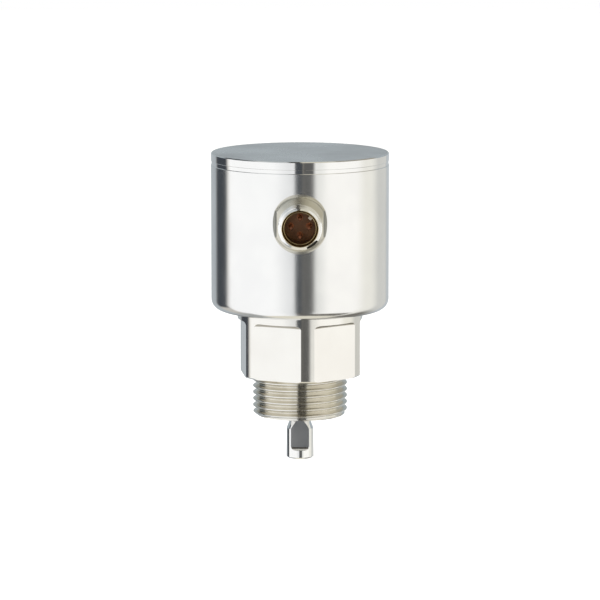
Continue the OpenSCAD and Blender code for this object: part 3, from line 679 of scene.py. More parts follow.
class FinishBook:
    """All finishes of the sensor, each built as a material when it is first used."""

    BRIGHT: Colour = (0.86, 0.86, 0.85)
    STEEL: Colour = (0.82, 0.82, 0.81)
    STEEL_DARK: Colour = (0.79, 0.79, 0.785)
    WARM: Colour = (0.81, 0.80, 0.765)
    WARM_DARK: Colour = (0.785, 0.77, 0.735)

    def __init__(self, connector_z: float) -> None:
        """Lists the finishes.

        Args:
            connector_z: height of the connector's axis, for the lay of its turned surfaces.
        """
        steel, warm = (self.STEEL, self.STEEL_DARK, 1.0), (self.WARM, self.WARM_DARK, 1.0)
        turned, ground, plain = Lay.TURNED, Lay.GROUND, Lay.PLAIN
        axial = {"turn_x": -90.0, "centre": (0.0, 0.0, connector_z)}
        self.effects = SurfaceEffects()
        self.made: dict[str, bpy.types.Material] = {}
        finishes = [
            Finish("housing_steel", *steel, 0.15, 0.18, plain, 7000.0, 0.0022),
            Finish("lid_steel", self.STEEL, (0.7, 0.7, 0.7), 1.0, 0.24, 0.34, ground, 3000.0, 0.003,
                   cloud_size=45.0),
            Finish("rim_steel", *steel, 0.07, 0.1, turned, 1800.0, 0.0004),
            Finish("connection_steel", *warm, 0.11, 0.15, turned, 2200.0, 0.0006),
            Finish("thread_steel", (0.74, 0.715, 0.645), (0.63, 0.6, 0.52), 1.0, 0.13, 0.18, turned,
                   2200.0, 0.0006),
            Finish("coupling_steel", *steel, 0.09, 0.12, turned, 2600.0, 0.0004),
            Finish("milled_steel", *steel, 0.19, 0.25, ground, 5000.0, 0.0016),
            Finish("connector_steel", self.BRIGHT, self.STEEL, 1.0, 0.1, 0.14, turned,
                   2600.0, 0.0004, **axial),
            Finish("weld_steel", (0.62, 0.60, 0.53), (0.54, 0.52, 0.45), 1.0, 0.26, 0.32, turned,
                   2600.0, 0.0008, **axial),
            # Painted shade: darker weld beside the collar's flats, where the collar keeps the light off.
            Finish("weld_painted_shade", (0.3, 0.3, 0.275), (0.25, 0.25, 0.225), 1.0, 0.3, 0.36, plain,
                   2600.0, 0.0008),
            # Painted shade: near-black steel for the end of the index notch, dark because the recess lies
            # in shade.
            Finish("notch_painted_shade", (0.06, 0.055, 0.045), (0.04, 0.036, 0.03), 1.0, 0.4, 0.5),
            # Painted shade: darker steel in the end radii of the hexagon's flats, which lie in shade.
            Finish("flat_end_painted_shade", (0.44, 0.42, 0.37), (0.38, 0.355, 0.31), 1.0, 0.2, 0.26),
            # Painted reflection and shade: brown-tinted steel inside the mouth stands in for the reflected
            # amber carrier and the shade in the mouth.
            Finish("mouth_painted_reflection", (0.26, 0.17, 0.055), (0.2, 0.125, 0.04), 1.0, 0.3, 0.36, turned,
                   2600.0, 0.0006, **axial),
            # Painted reflection and highlight: gold-tinted steel on the mouth's lips, lighter than the
            # mouth, stands in for the amber carrier's bright reflection.
            Finish("lip_painted_reflection", (0.64, 0.52, 0.28), (0.56, 0.44, 0.22), 1.0, 0.2, 0.26, turned,
                   2600.0, 0.0004, **axial),
            Finish("insulator_polymer", (0.88, 0.87, 0.83), (0.84, 0.82, 0.77), 0.0, 0.36, 0.46, turned,
                   3000.0, 0.002),
            Finish("support_polymer", (0.62, 0.5, 0.33), (0.56, 0.44, 0.28), 0.0, 0.4, 0.5, turned,
                   3000.0, 0.002),
            Finish("elastomer", (0.022, 0.022, 0.024), (0.032, 0.032, 0.034), 0.0, 0.5, 0.62, relief=0.003),
            Finish("spring_steel", (0.6, 0.6, 0.6), (0.5, 0.5, 0.51), 1.0, 0.2, 0.28, turned,
                   2600.0, 0.001),
            Finish("bronze", (0.72, 0.52, 0.27), (0.62, 0.42, 0.2), 1.0, 0.22, 0.3, turned, 2600.0, 0.001),
            Finish("contact_gold", (0.92, 0.5, 0.27), (0.86, 0.44, 0.22), 1.0, 0.2, 0.26, plain,
                   2600.0, 0.0005),
            # Painted shade: dark brown for the pins' rounded tips, which face the dark front and the shaded
            # mouth.
            Finish("pin_tip_painted_shade", (0.15, 0.05, 0.02), (0.12, 0.04, 0.016), 0.0, 0.5, 0.56, relief=0.0005),
            # Painted highlight: a pale, glossy colour on the key's end stands in for its glint.
            Finish("key_painted_highlight", (0.48, 0.43, 0.36), (0.34, 0.27, 0.2), 0.0, 0.16, 0.2, relief=0.002),
            # The carrier's brown carries a painted glow round each pin.
            Finish("carrier_polymer", (0.28, 0.125, 0.038), (0.23, 0.1, 0.03), 0.0, 0.34, 0.44,
                   relief=0.002, painted_glow=(0.6, 0.18, 0.04), **axial),
            Finish("board_laminate", (0.02, 0.13, 0.055), (0.015, 0.1, 0.04), 0.0, 0.32, 0.42,
                   relief=0.003, clear=0.3),
            Finish("black_polymer", (0.028, 0.028, 0.03), (0.04, 0.04, 0.042), 0.0, 0.42, 0.54),
            Finish("copper_film", (0.62, 0.3, 0.09), (0.54, 0.24, 0.07), relief=0.001, clear=0.5),
            Finish("tinned_steel", (0.7, 0.7, 0.68), (0.6, 0.6, 0.58), 1.0, 0.3, 0.42, relief=0.002),
            Finish("capacitor_case", (0.74, 0.74, 0.75), (0.66, 0.66, 0.68), 1.0, 0.3, 0.38, relief=0.002),
        ]
        self.finishes = {finish.name: finish for finish in finishes}

    def get(self, name: str) -> bpy.types.Material:
        """Builds a finish's material on its first use.

        Args:
            name: name of the finish.

        Returns:
            The same material at each call.
        """
        if name not in self.made:
            self.made[name] = self.finishes[name].material(self.effects)
        return self.made[name]

    def dress(
        self, piece: Piece, names: Sequence[str], zone: Callable[[Face], int] = lambda face: 0
    ) -> None:
        """Gives each face of a piece one of its finishes.

        Args:
            piece: piece to dress.
            names: names of its finishes.
            zone: number of a face's finish among them.
        """
        slots = piece.data.materials
        slots.clear()
        for name in names:
            slots.append(self.get(name))
        for face in piece.data.polygons:
            face.material_index = zone(face)


def finished(piece: Piece, body: Body, nodes: Sequence[str]) -> None:
    """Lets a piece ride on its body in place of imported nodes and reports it.

    Args:
        piece: finished piece at the origin.
        body: body that carries it.
        nodes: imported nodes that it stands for.
    """
    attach(piece, body.value)
    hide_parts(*nodes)
    log.info("%s: %d faces on %s", piece.name, len(piece.data.polygons), body.value)


@dataclass
class ProcessConnection:
    """The turned connection with its hexagon, thread and spigot."""

    cutter: ThreadCutter
    book: FinishBook
    hex_af: float = 32.0
    hex_h: float = 15.0
    flat_end_r: float = 0.9
    hex_turn: float = 7.0
    corner_chamfer: float = 0.4
    tip_chamfer: float = 1.0
    small_break: float = 0.15
    edge_break: float = 0.3
    thread_pitch: float = 25.4 / 14
    thread_depth: float = 1.162
    thread_flat: float = 0.04
    crest_band: float = 0.06
    mark_start: float = 0.1
    crest_offset: float = -6.16
    run_out: float = 0.9
    insulator_r: float = 7.0
    web_low: float = 2.0
    web_top: float = 6.0
    web_bore_r: float = 4.2
    cavity_r: float = 8.0
    spigot_r: float = 11.0
    slide_groove: Groove = (12.28, 14.92, 16.66)
    seal_groove: Groove = (9.576, 19.712, 22.088)
    clip_groove: Groove = (10.4, 24.28, 25.52)
    neck_gap: float = 0.2
    flat_columns: int = 24
    corner_columns: int = 6
    arc_steps: int = 10

    def __post_init__(self) -> None:
        """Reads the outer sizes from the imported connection."""
        low, high = extent("process_connection")
        self.tip_z = low.z
        self.top_z = high.z
        self.bar_r = high.x
        self.thread_r = mount_of("process_thread")["dims"]["r_mm"]
        housing_low, _ = extent("housing")
        self.neck_z = housing_low.z - self.neck_gap
        self.half_flat = math.acos(self.hex_af / 2 / self.bar_r)
        self.thread = ThreadForm(
            self.thread_r, self.thread_pitch, self.thread_depth, self.thread_flat,
            self.tip_z, 0.0, self.run_out, self.crest_offset,
        )

    def angles(self) -> list[float]:
        """Angles of the columns, with one on each corner of each flat.

        Returns:
            Rising angles, the last a whole turn after the first.
        """
        angles = []
        first = math.radians(self.hex_turn) - TURN / 4
        corner = TURN / 12 - self.half_flat
        for side in range(6):
            start = first + TURN / 6 * side
            angles += spaced(start - corner, 2 * corner, self.corner_columns)
            angles += spaced(start + corner, 2 * self.half_flat, self.flat_columns)
        return angles + [angles[0] + TURN]

    def across(self, angle: float) -> float:
        """Cosine of the angle from the middle of the nearest flat."""
        middle = math.radians(self.hex_turn) - TURN / 4 + TURN / 12
        return math.cos((angle - middle + TURN / 12) % (TURN / 6) - TURN / 12)

    def blank_r(self, height: float) -> float:
        """Radius of the thread's blank at a height, with the chamfer at its tip."""
        return min(self.thread_r, self.thread_r - self.tip_chamfer + height - self.tip_z)

    def column(self, angle: float) -> Outline:
        """Outline of the connection at an angle.

        Args:
            angle: angle round the thread axis.

        Returns:
            The closed outline, with the thread still uncut.
        """
        cosine = self.across(angle)
        flat_r = min(self.hex_af / 2 / cosine, self.bar_r)
        foot_r = min(flat_r, self.bar_r - self.corner_chamfer)
        edge = SUPPORT
        points = [(self.insulator_r, self.tip_z), (self.thread_r - self.thread_depth - edge, self.tip_z)]
        points += [(self.blank_r(z), z) for z in self.thread.rows(angle)]
        points += [
            (self.thread_r + edge, 0.0),
            (foot_r - edge, 0.0),
            (foot_r, 0.0),
            (flat_r, flat_r - foot_r),
            (flat_r, self.corner_chamfer + edge),
            (flat_r, self.hex_h - edge),
        ]
        arc_points = end_radius(self.hex_af / 2, self.bar_r, self.flat_end_r, cosine, self.arc_steps)
        points += [(radius, self.hex_h + rise) for radius, rise in arc_points]
        points += [(self.bar_r, points[-1][1])]
        neck, small = self.neck_z, self.small_break
        points += [
            (self.bar_r, self.hex_h + self.flat_end_r + edge),
            (self.bar_r, neck - small - edge),
            (self.bar_r, neck - small),
            (self.bar_r - small, neck),
        ]
        slide_in, slide_out, slide_z = self.slide_groove
        points += [(slide_out, neck), (slide_out, slide_z), (slide_in, slide_z), (slide_in, neck)]
        points += [(self.spigot_r, neck)]
        for groove in (self.seal_groove, self.clip_groove):
            points += ring_groove(self.spigot_r, groove)
        points += [
            (self.spigot_r, self.top_z - self.edge_break),
            (self.spigot_r - self.edge_break, self.top_z),
            (self.cavity_r, self.top_z),
            (self.cavity_r, self.web_top),
            (self.web_bore_r, self.web_top),
            (self.web_bore_r, self.web_low),
            (self.insulator_r, self.web_low),
        ]
        return points

    def build(self) -> None:
        """Builds the connection with its thread."""
        blank = turned_object("threaded_connection", self.column, self.angles())
        piece = self.cutter.cut(blank, self.thread, self.book.get("connection_steel"))
        self.book.dress(piece, ("connection_steel", "thread_steel", "flat_end_painted_shade"), self.zone)
        mark_edges(piece.data)
        finished(piece, Body.FITTING, ["process_connection"])

    def zone(self, face: Face) -> int:
        """Number of a face's finish.

        Args:
            face: face of the connection.

        Returns:
            1 below the thread's crests, 2 for the painted shade in the end radius of a flat and 0
            elsewhere.
        """
        place = face.center / MM
        radius = math.hypot(place.x, place.y)
        below_crest = self.thread_r - self.thread_depth - SUPPORT < radius < self.thread_r - self.crest_band
        if self.tip_z + self.tip_chamfer < place.z < 0.0 and below_crest:
            return 1
        # The end radii of the flats get their painted shade.
        in_end_arc = self.hex_h + self.mark_start < place.z < self.hex_h + self.flat_end_r
        return 2 if in_end_arc and self.hex_af / 2 < radius < self.bar_r - self.small_break / 2 else 0


@dataclass
class RodCoupling:
    """The stub below the thread, on which the probe rod is screwed."""

    book: FinishBook
    stub_r: float = 3.75
    cone_h: float = 4.0
    neck_r: float = 2.3
    flat_af: float = 5.5
    skirt: float = 2.4
    end_r: float = 1.0
    chamfer: float = 0.35
    core_r: float = 1.65
    core_depth: float = 8.5
    core_break: float = 0.25
    shank_r: float = 2.0
    shank_z: float = 2.0
    shank_break: float = 0.3
    pin_bore_r: float = 0.52
    pin_bore_depth: float = 3.0
    seal_groove: Groove = (1.52, -6.21, -4.89)
    flat_facing: float = 0.99
    columns: int = 128
    arc_steps: int = 10

    def __post_init__(self) -> None:
        """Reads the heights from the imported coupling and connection."""
        low, high = extent("rod_coupling")
        self.low_z = low.z
        self.top_z = high.z
        self.neck_low_z = extent("process_connection")[0].z
        self.cone_z = self.neck_low_z - self.cone_h
        self.flat_z = self.low_z + self.skirt + self.end_r

    def flat_cosine(self, angle: float) -> float:
        """Cosine of the angle from the middle of the nearer flat."""
        return max(abs(math.sin(angle)), self.flat_af / 2 / self.stub_r)

    def column(self, angle: float) -> Outline:
        """Outline of the coupling at an angle.

        Args:
            angle: angle round the thread axis.

        Returns:
            The closed outline, from the mouth of the rod thread round to its wall.
        """
        cosine = self.flat_cosine(angle)
        flat_r = self.flat_af / 2 / cosine
        cone_rise = (self.stub_r - flat_r) * self.cone_h / (self.stub_r - self.neck_r)
        edge = SUPPORT
        low, top, neck = self.low_z, self.top_z, self.neck_low_z
        points = [
            (self.core_r + self.core_break, low),
            (self.stub_r - self.chamfer, low),
            (self.stub_r, low + self.chamfer),
            (self.stub_r, low + self.chamfer + edge),
        ]
        arc_points = end_radius(self.flat_af / 2, self.stub_r, self.end_r, cosine, self.arc_steps)
        points += [(radius, self.flat_z - rise) for radius, rise in reversed(arc_points)]
        points += [
            (flat_r, self.flat_z + edge),
            (flat_r, self.cone_z + cone_rise - edge),
            (flat_r, self.cone_z + cone_rise),
            (self.neck_r, neck),
            (self.neck_r, neck + edge),
        ]
        points += ring_groove(self.neck_r, self.seal_groove)
        points += [
            (self.neck_r, self.shank_z),
            (self.shank_r, self.shank_z),
            (self.shank_r, top - self.shank_break),
            (self.shank_r - self.shank_break, top),
            (self.pin_bore_r, top),
            (self.pin_bore_r, top - self.pin_bore_depth),
            (0.0, top - self.pin_bore_depth),
            (0.0, low + self.core_depth),
            (self.core_r, low + self.core_depth),
            (self.core_r, low + self.core_break),
        ]
        return points

    def angles(self) -> list[float]:
        """Angles of the columns, with one on each edge of each flat.

        Returns:
            Rising angles, the last a whole turn after the first.
        """
        half = math.acos(self.flat_af / 2 / self.stub_r)
        count = self.columns // 4
        angles = []
        for middle in (-TURN / 4, TURN / 4):
            angles += spaced(middle - half, 2 * half, count)
            angles += spaced(middle + half, TURN / 2 - 2 * half, count)
        return angles + [angles[0] + TURN]

    def zone(self, face: Face) -> int:
        """Number of a face's finish: 1 on the milled flats and 0 elsewhere."""
        near = abs(face.center.y) / MM < self.flat_af / 2 + SUPPORT / 4
        return int(near and abs(face.normal.y) > self.flat_facing)

    def build(self) -> None:
        """Builds the coupling."""
        piece = turned_object("milled_coupling", self.column, self.angles())
        self.book.dress(piece, ("coupling_steel", "milled_steel"), self.zone)
        finished(piece, Body.FITTING, ["rod_coupling"])


@dataclass
class Housing:
    """The turned cup of the head."""

    book: FinishBook
    wall: float = 2.0
    floor: float = 5.0
    edge_r: float = 3.0
    inner_edge_r: float = 2.5
    joint_break: float = 0.15
    swivel_clearance: float = 0.04
    spigot_r: float = 11.0
    collar_r: float = 7.37
    hole_reach: float = 1.0
    columns: int = 240
    hole_columns: int = 96
    level_step: float = 1.0
    arc_steps: int = 16

    def __post_init__(self) -> None:
        """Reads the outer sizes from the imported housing."""
        low, high = extent("housing")
        self.low_z, self.joint_z, self.radius = low.z, high.z, high.x
        self.connector_z = mount_of("connector_thread")["pos_m"][2] / MM

    def levels(self) -> list[float]:
        """Heights of the wall's rows, close enough that the connector's hole leaves the shading alone."""
        low, high = self.low_z + self.edge_r, self.joint_z - self.joint_break
        return spaced(low, high - low, round((high - low) / self.level_step))[1:]

    def column(self, angle: float) -> Outline:
        """Outline of the cup, the same at every angle.

        Args:
            angle: angle round the thread axis, not used.

        Returns:
            The closed outline, from the spigot's bore over the wall and back.
        """
        bore_r = self.spigot_r + self.swivel_clearance
        low, high, r = self.low_z, self.joint_z, self.radius
        inner_r, floor_z = r - self.wall, low + self.floor
        points = [(bore_r, low), (r - self.edge_r - SUPPORT, low)]
        points += arc((r - self.edge_r, low + self.edge_r), self.edge_r, -90, 0, self.arc_steps)
        points += [(r, low + self.edge_r + SUPPORT)]
        points += [(r, z) for z in self.levels()]
        points += [(r, high - self.joint_break - SUPPORT), (r, high - self.joint_break)]
        points += [(r - self.joint_break, high), (inner_r, high)]
        points += [(inner_r, z) for z in reversed(self.levels()) if z > floor_z + self.inner_edge_r]
        corner = (inner_r - self.inner_edge_r, floor_z + self.inner_edge_r)
        return points + arc(corner, self.inner_edge_r, 0, -90, self.arc_steps // 2) + [(bore_r, floor_z)]

    def connector_hole(self) -> Piece:
        """Makes the round cutter that opens the wall for the connector's collar.

        Returns:
            A cylinder on the connector's axis, which is removed after the cut.
        """
        length = self.radius + self.hole_reach
        outline: Outline = [(0.0, 0.0), (self.collar_r, 0.0), (self.collar_r, length), (0.0, length)]
        place = connector_place(self.connector_z)
        return turned_object("hole_cutter", lambda angle: outline, even_angles(self.hole_columns), place)

    def build(self) -> None:
        """Builds the cup with the hole for the connector."""
        piece = turned_object("turned_housing", self.column, even_angles(self.columns))
        cutter = self.connector_hole()
        modifier = piece.modifiers.new("hole", "BOOLEAN")
        modifier.object = cutter
        modifier.operation = "DIFFERENCE"
        modifier.solver = "EXACT"
        applied(piece, modifier)
        bpy.data.objects.remove(cutter)
        mark_edges(piece.data)
        self.book.dress(piece, ["housing_steel"])
        finished(piece, Body.HEAD, ["housing"])


@dataclass
class Lid:
    """The lid with its rim, its stepped band and the joint line."""

    book: FinishBook
    band_inset: float = 0.12
    band_h: float = 1.0
    edge_break: float = 0.25
    plate: float = 2.0
    spigot_h: float = 3.4
    spigot_w: float = 2.4
    spigot_r: float = 22.77
    spigot_break: float = 0.3
    groove: Groove = (21.58, 56.41, 58.39)
    upright: float = 0.9
    columns: int = 240

    def __post_init__(self) -> None:
        """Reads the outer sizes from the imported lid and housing."""
        _, high = extent("lid")
        self.top_z, self.radius = high.z, high.x
        self.joint_z = extent("housing")[1].z

    def column(self, angle: float) -> Outline:
        """Outline of the lid, the same at every angle.

        Args:
            angle: angle round the thread axis, not used.

        Returns:
            The closed outline with its support points.
        """
        top, joint, r = self.top_z, self.joint_z, self.radius
        band_r = r - self.band_inset
        low = joint - self.spigot_h
        inner_r = self.spigot_r - self.spigot_w
        return supported([
            (inner_r, low),
            (self.spigot_r - self.spigot_break, low),
            (self.spigot_r, low + self.spigot_break),
            *ring_groove(self.spigot_r, self.groove),
            (self.spigot_r, joint),
            (band_r, joint),
            (band_r, joint + self.band_h),
            (r, joint + self.band_h + self.band_inset),
            (r, top - self.edge_break),
            (r - self.edge_break, top),
            (0.0, top),
            (0.0, top - self.plate),
            (inner_r, top - self.plate),
        ])

    def zone(self, face: Face) -> int:
        """Number of a face's finish: 1 on the ground top and 0 elsewhere."""
        return int(face.normal.z > self.upright and face.center.z > (self.top_z - self.edge_break / 2) * MM)

    def build(self) -> None:
        """Builds the lid with a ground top and a bright rim."""
        piece = turned_object("turned_lid", self.column, even_angles(self.columns))
        self.book.dress(piece, ("rim_steel", "lid_steel"), self.zone)
        finished(piece, Body.HEAD, ["lid"])


@dataclass
class ConnectorSleeve:
    """The plug connector's threaded tube with its welded collar."""

    cutter: ThreadCutter
    book: FinishBook
    housing_r: float
    axis_z: float
    collar_r: float = 7.35
    collar_s: float = 26.8
    collar_cone_h: float = 1.2
    collar_af: float = 12.9
    collar_break: float = 0.3
    tail_s: float = 19.3
    weld_side_r: float = 7.8
    weld_top_r: float = 8.8
    weld_h: float = 1.2
    weld_room: float = 0.12
    sunk: float = 0.03
    relief_r: float = 5.35
    relief_w: float = 1.0
    pitch: float = 1.0
    depth: float = 0.613
    thread_flat: float = 0.1
    run_out: float = 0.01
    rows_per_turn: int = 12
    rim_chamfer: float = 0.95
    mouth_r: float = 4.95
    mouth_depth: float = 1.2
    lip: float = 0.12
    bead_r: float = 0.1
    bead_inset: float = 0.02
    bead_arc: Pair = (60.0, 180.0)
    crest_shift: float = 0.45
    socket_r: float = 4.4
    seat_r: float = 5.5
    seat_s: float = 25.6
    index_depth: float = 0.85
    index_w: float = 3.6
    index_length: float = 1.6
    index_angle: float = -53.0
    index_wall: float = 0.35
    index_close: float = 0.001
    flat_reach: float = 0.55
    facing: float = 0.9
    columns: int = 160
    blend_steps: int = 10

    def __post_init__(self) -> None:
        """Reads the tube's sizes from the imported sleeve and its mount."""
        self.rim_s = -extent("connector_sleeve")[0].y
        self.tube_r = mount_of("connector_thread")["dims"]["r_mm"]
        self.thread = ThreadForm(
            self.tube_r, self.pitch, self.depth, self.thread_flat, self.collar_s + self.relief_w,
            self.rim_s, self.run_out, self.rim_s - self.crest_shift, self.rows_per_turn,
        )

    def wall_s(self, radius: float, angle: float) -> float:
        """Distance of the housing's wall along the connector's axis, at a radius and angle round it."""
        return math.sqrt(self.housing_r ** 2 - (radius * math.cos(angle)) ** 2)

    def side_r(self, angle: float) -> float:
        """Radius of the collar's side at an angle, with its two flats."""
        return min(self.collar_r, self.collar_af / 2 / abs(math.cos(angle)))

    def collar(self, angle: float) -> Outline:
        """The weld, the side and the cone of the collar at an angle.

        Args:
            angle: angle round the connector's axis.

        Returns:
            Points from the housing's wall to the relief.
        """
        side_r = self.side_r(angle)
        foot_r = 1 / math.hypot(math.cos(angle) / self.weld_side_r, math.sin(angle) / self.weld_top_r)
        slope = self.collar_cone_h / (self.collar_r - self.relief_r)
        edge_s = self.collar_s - (side_r - self.relief_r) * slope
        wall = self.wall_s(side_r, angle)
        head_s = min(wall + self.weld_h, edge_s - self.collar_break - self.weld_room)
        foot = (foot_r, self.wall_s(foot_r, angle) - self.sunk)
        points = blend(foot, (side_r, wall), (side_r, head_s), self.blend_steps)
        below, corner = (side_r, edge_s - self.collar_break), (side_r, edge_s)
        on_cone = (side_r - self.collar_break, edge_s + self.collar_break * slope)
        points += blend(below, corner, on_cone, self.blend_steps // 2)
        return points + [(self.relief_r + SUPPORT, self.collar_s - SUPPORT * slope)]

    def tube(self, angle: float) -> Outline:
        """The tube's blank from the relief to the rim, with the index notch.

        Args:
            angle: angle round the connector's axis.

        Returns:
            Points along the thread's rows.
        """
        turn = self.from_notch(angle)
        cut = abs(turn) < self.index_half() + self.index_close
        notch_s = self.rim_s - self.index_length
        rows = self.thread.rows(angle)
        step = next(i for i, s in enumerate(rows) if s > notch_s)
        points = []
        for i, s in enumerate(rows):
            if i in (step - 1, step):
                s = notch_s
            chamfer_r = self.tube_r - self.rim_chamfer + self.rim_s - s
            radius = min(self.tube_r, self.relief_r + s - rows[0], chamfer_r)
            if i >= step and cut:
                radius = min(radius, (self.tube_r - self.index_depth) / math.cos(turn))
            points.append((radius, s))
        return points

    def from_notch(self, angle: float) -> float:
        """Angle from the middle of the index notch, between minus and plus half a turn."""
        return (angle - math.radians(self.index_angle) + TURN / 2) % TURN - TURN / 2

    def index_half(self) -> float:
        """Half of the angle that the index notch takes on the tube."""
        return math.asin(self.index_w / 2 / self.tube_r)

    def column(self, angle: float) -> Outline:
        """Outline of the sleeve at an angle, along the connector's axis.

        Args:
            angle: angle round the connector's axis.

        Returns:
            The closed outline.
        """
        lip = self.lip
        slope = (self.mouth_r - self.socket_r) / self.mouth_depth
        mouth_s = self.rim_s - self.mouth_depth
        points = [(self.seat_r, self.tail_s), (self.collar_r, self.tail_s)]
        points += [(self.collar_r, self.wall_s(self.collar_r, angle) - 4 * SUPPORT)]
        points += self.collar(angle)
        points += [(self.relief_r, self.collar_s), (self.relief_r, self.collar_s + self.relief_w - SUPPORT)]
        points += self.tube(angle)
        outer = (self.mouth_r + lip, self.rim_s - lip / 2)
        inner = (self.mouth_r - lip * slope, self.rim_s - lip)
        points += blend(outer, (self.mouth_r, self.rim_s), inner, self.blend_steps // 2)
        centre = (self.socket_r + self.bead_inset, mouth_s + self.bead_inset)
        points += arc(centre, self.bead_r, *self.bead_arc, self.blend_steps)
        points += [(self.socket_r, mouth_s - self.bead_r)]
        return points + [(self.socket_r, self.seat_s), (self.seat_r, self.seat_s)]

    def angles(self) -> list[float]:
        """Angles of the columns, with one on each edge of the flats and of the index notch.

        Returns:
            Rising angles over a whole turn, with both ends.
        """
        corner = math.acos(self.collar_af / 2 / self.collar_r)
        notch = math.radians(self.index_angle) % TURN
        half, wall = self.index_half(), math.radians(self.index_wall)
        edges = [corner, TURN / 2 - corner, TURN / 2 + corner, TURN - corner]
        edges += [notch - half - wall, notch - half, notch + half, notch + half + wall]
        step = TURN / self.columns
        inner = even_angles(self.columns)[1:-1]
        even = [angle for angle in inner if all(abs(angle - edge) > step / 2 for edge in edges)]
        return [0.0] + sorted(even + edges) + [TURN]

    def zone(self, face: Face) -> int:
        """Number of a face's finish, before the sleeve is turned into its place.

        Args:
            face: face of the sleeve.

        Returns:
            0 for the outside, 1 for the mouth, 2 for its lips, 3 for the collar, 4 beside the collar's
            flats and 5 for the end of the index notch.
        """
        place = face.center / MM
        radius, depth = math.hypot(place.x, place.y), self.rim_s - place.z
        # The mouth gets brown-tinted steel and its lips a lighter gold: painted reflection of the amber
        # carrier, with painted shade in the mouth.
        if radius <= self.mouth_r + self.lip:
            on_lip = depth < self.lip or abs(depth - self.mouth_depth) < 2 * self.bead_r
            return 2 if on_lip else 1
        if place.z < self.collar_s:
            across, up = abs(place.x), abs(place.y)
            # Faces beside the collar's flats get the weld's painted shade.
            beside = across > self.collar_af / 2 - SUPPORT and up < across * self.flat_reach
            return 4 if beside and place.z < self.housing_r else 3
        in_notch = abs(self.from_notch(math.atan2(place.y, place.x))) < self.index_half()
        at_end = self.rim_chamfer < depth < self.index_length + SUPPORT / 2 and face.normal.z > self.facing
        # The end of the index notch gets its painted shade.
        return 5 if in_notch and at_end and radius < self.tube_r - SUPPORT else 0

    def build(self) -> None:
        """Builds the sleeve with its thread."""
        blank = turned_object("threaded_sleeve", self.column, self.angles())
        piece = self.cutter.cut(blank, self.thread, self.book.get("connector_steel"))
        names = ("connector_steel", "mouth_painted_reflection", "lip_painted_reflection", "weld_steel", "weld_painted_shade", "notch_painted_shade")
        self.book.dress(piece, names, self.zone)
        piece.data.transform(connector_place(self.axis_z, MM))
        mark_edges(piece.data)
        finished(piece, Body.HEAD, ["connector_sleeve"])


@dataclass
class ContactPins:
    """The four pins of the plug connector."""

    book: FinishBook
    axis_z: float
    circle_r: float = 2.5
    nose: float = 0.8
    nose_steps: int = 8
    count: int = 4
    columns: int = 28

    def __post_init__(self) -> None:
        """Reads a pin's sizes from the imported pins."""
        low, high = extent("contact_pin_1")
        self.radius = (high.z - low.z) / 2
        self.tip_s, self.tail_s = -low.y, -high.y

    def column(self, angle: float) -> Outline:
        """Outline of a pin with its rounded tip, the same at every angle.

        Args:
            angle: angle round the pin's axis, not used.

        Returns:
            The closed outline, with its first point on the axis.
        """
        points: Outline = [(0.0, self.tail_s), (self.radius, self.tail_s)]
        for radius, along in arc((0.0, 0.0), 1.0, 0, 90, self.nose_steps):
            points.append((radius * self.radius, self.tip_s - self.nose + along * self.nose))
        return points

    def build(self) -> None:
        """Builds the four pins, with painted shade on their tips."""
        pin = turned_object("contact_pins", self.column, even_angles(self.columns))
        values = {"Count": self.count, "Circle radius": self.circle_r * MM}
        values["Finish"] = self.book.get("contact_gold")
        piece = PinRing().graph.run(pin, values)
        tip = (self.tip_s - self.nose) * MM
        # The rounded tips get their painted shade.
        self.book.dress(piece, ("contact_gold", "pin_tip_painted_shade"), lambda face: int(face.center.z > tip))
        piece.data.transform(connector_place(self.axis_z, MM))
        mark_edges(piece.data)
        nodes = [f"contact_pin_{i}" for i in range(1, self.count + 1)]
        finished(piece, Body.HEAD, nodes)


@dataclass
class HiddenParts:
    """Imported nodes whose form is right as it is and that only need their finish."""

    book: FinishBook
    key_length: float = 1.2

    def dress(self) -> None:
        """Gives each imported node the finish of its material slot."""
        for part in frame["record"]["subparts"]:
            finish = self.book.get(part["material_slot"])
            slots = frame["nodes"][part["node"]].data.materials
            if not slots:
                slots.append(finish)
            for i in range(len(slots)):
                slots[i] = finish

    def dress_key(self) -> None:
        """Paints a highlight on the end of the key inside the plug connector, as its own, paler finish."""
        mesh = frame["nodes"]["contact_carrier"].data
        end_s = -extent("contact_carrier")[0].y
        mesh.materials.append(self.book.get("key_painted_highlight"))
        for face in mesh.polygons:
            if -face.center.y / MM > end_s - self.key_length:
                face.material_index = len(mesh.materials) - 1


@dataclass(frozen=True)
class Panel:
    """A panel of the studio's surroundings, in degrees as seen from the sensor.

    Azimuth 0 is the camera's side, and positive azimuths lie to its right.
    """

    left: float
    right: float
    low: float
    high: float
    colour: Colour
    soft: float = 1.6
    soft_ends: float = 8.0


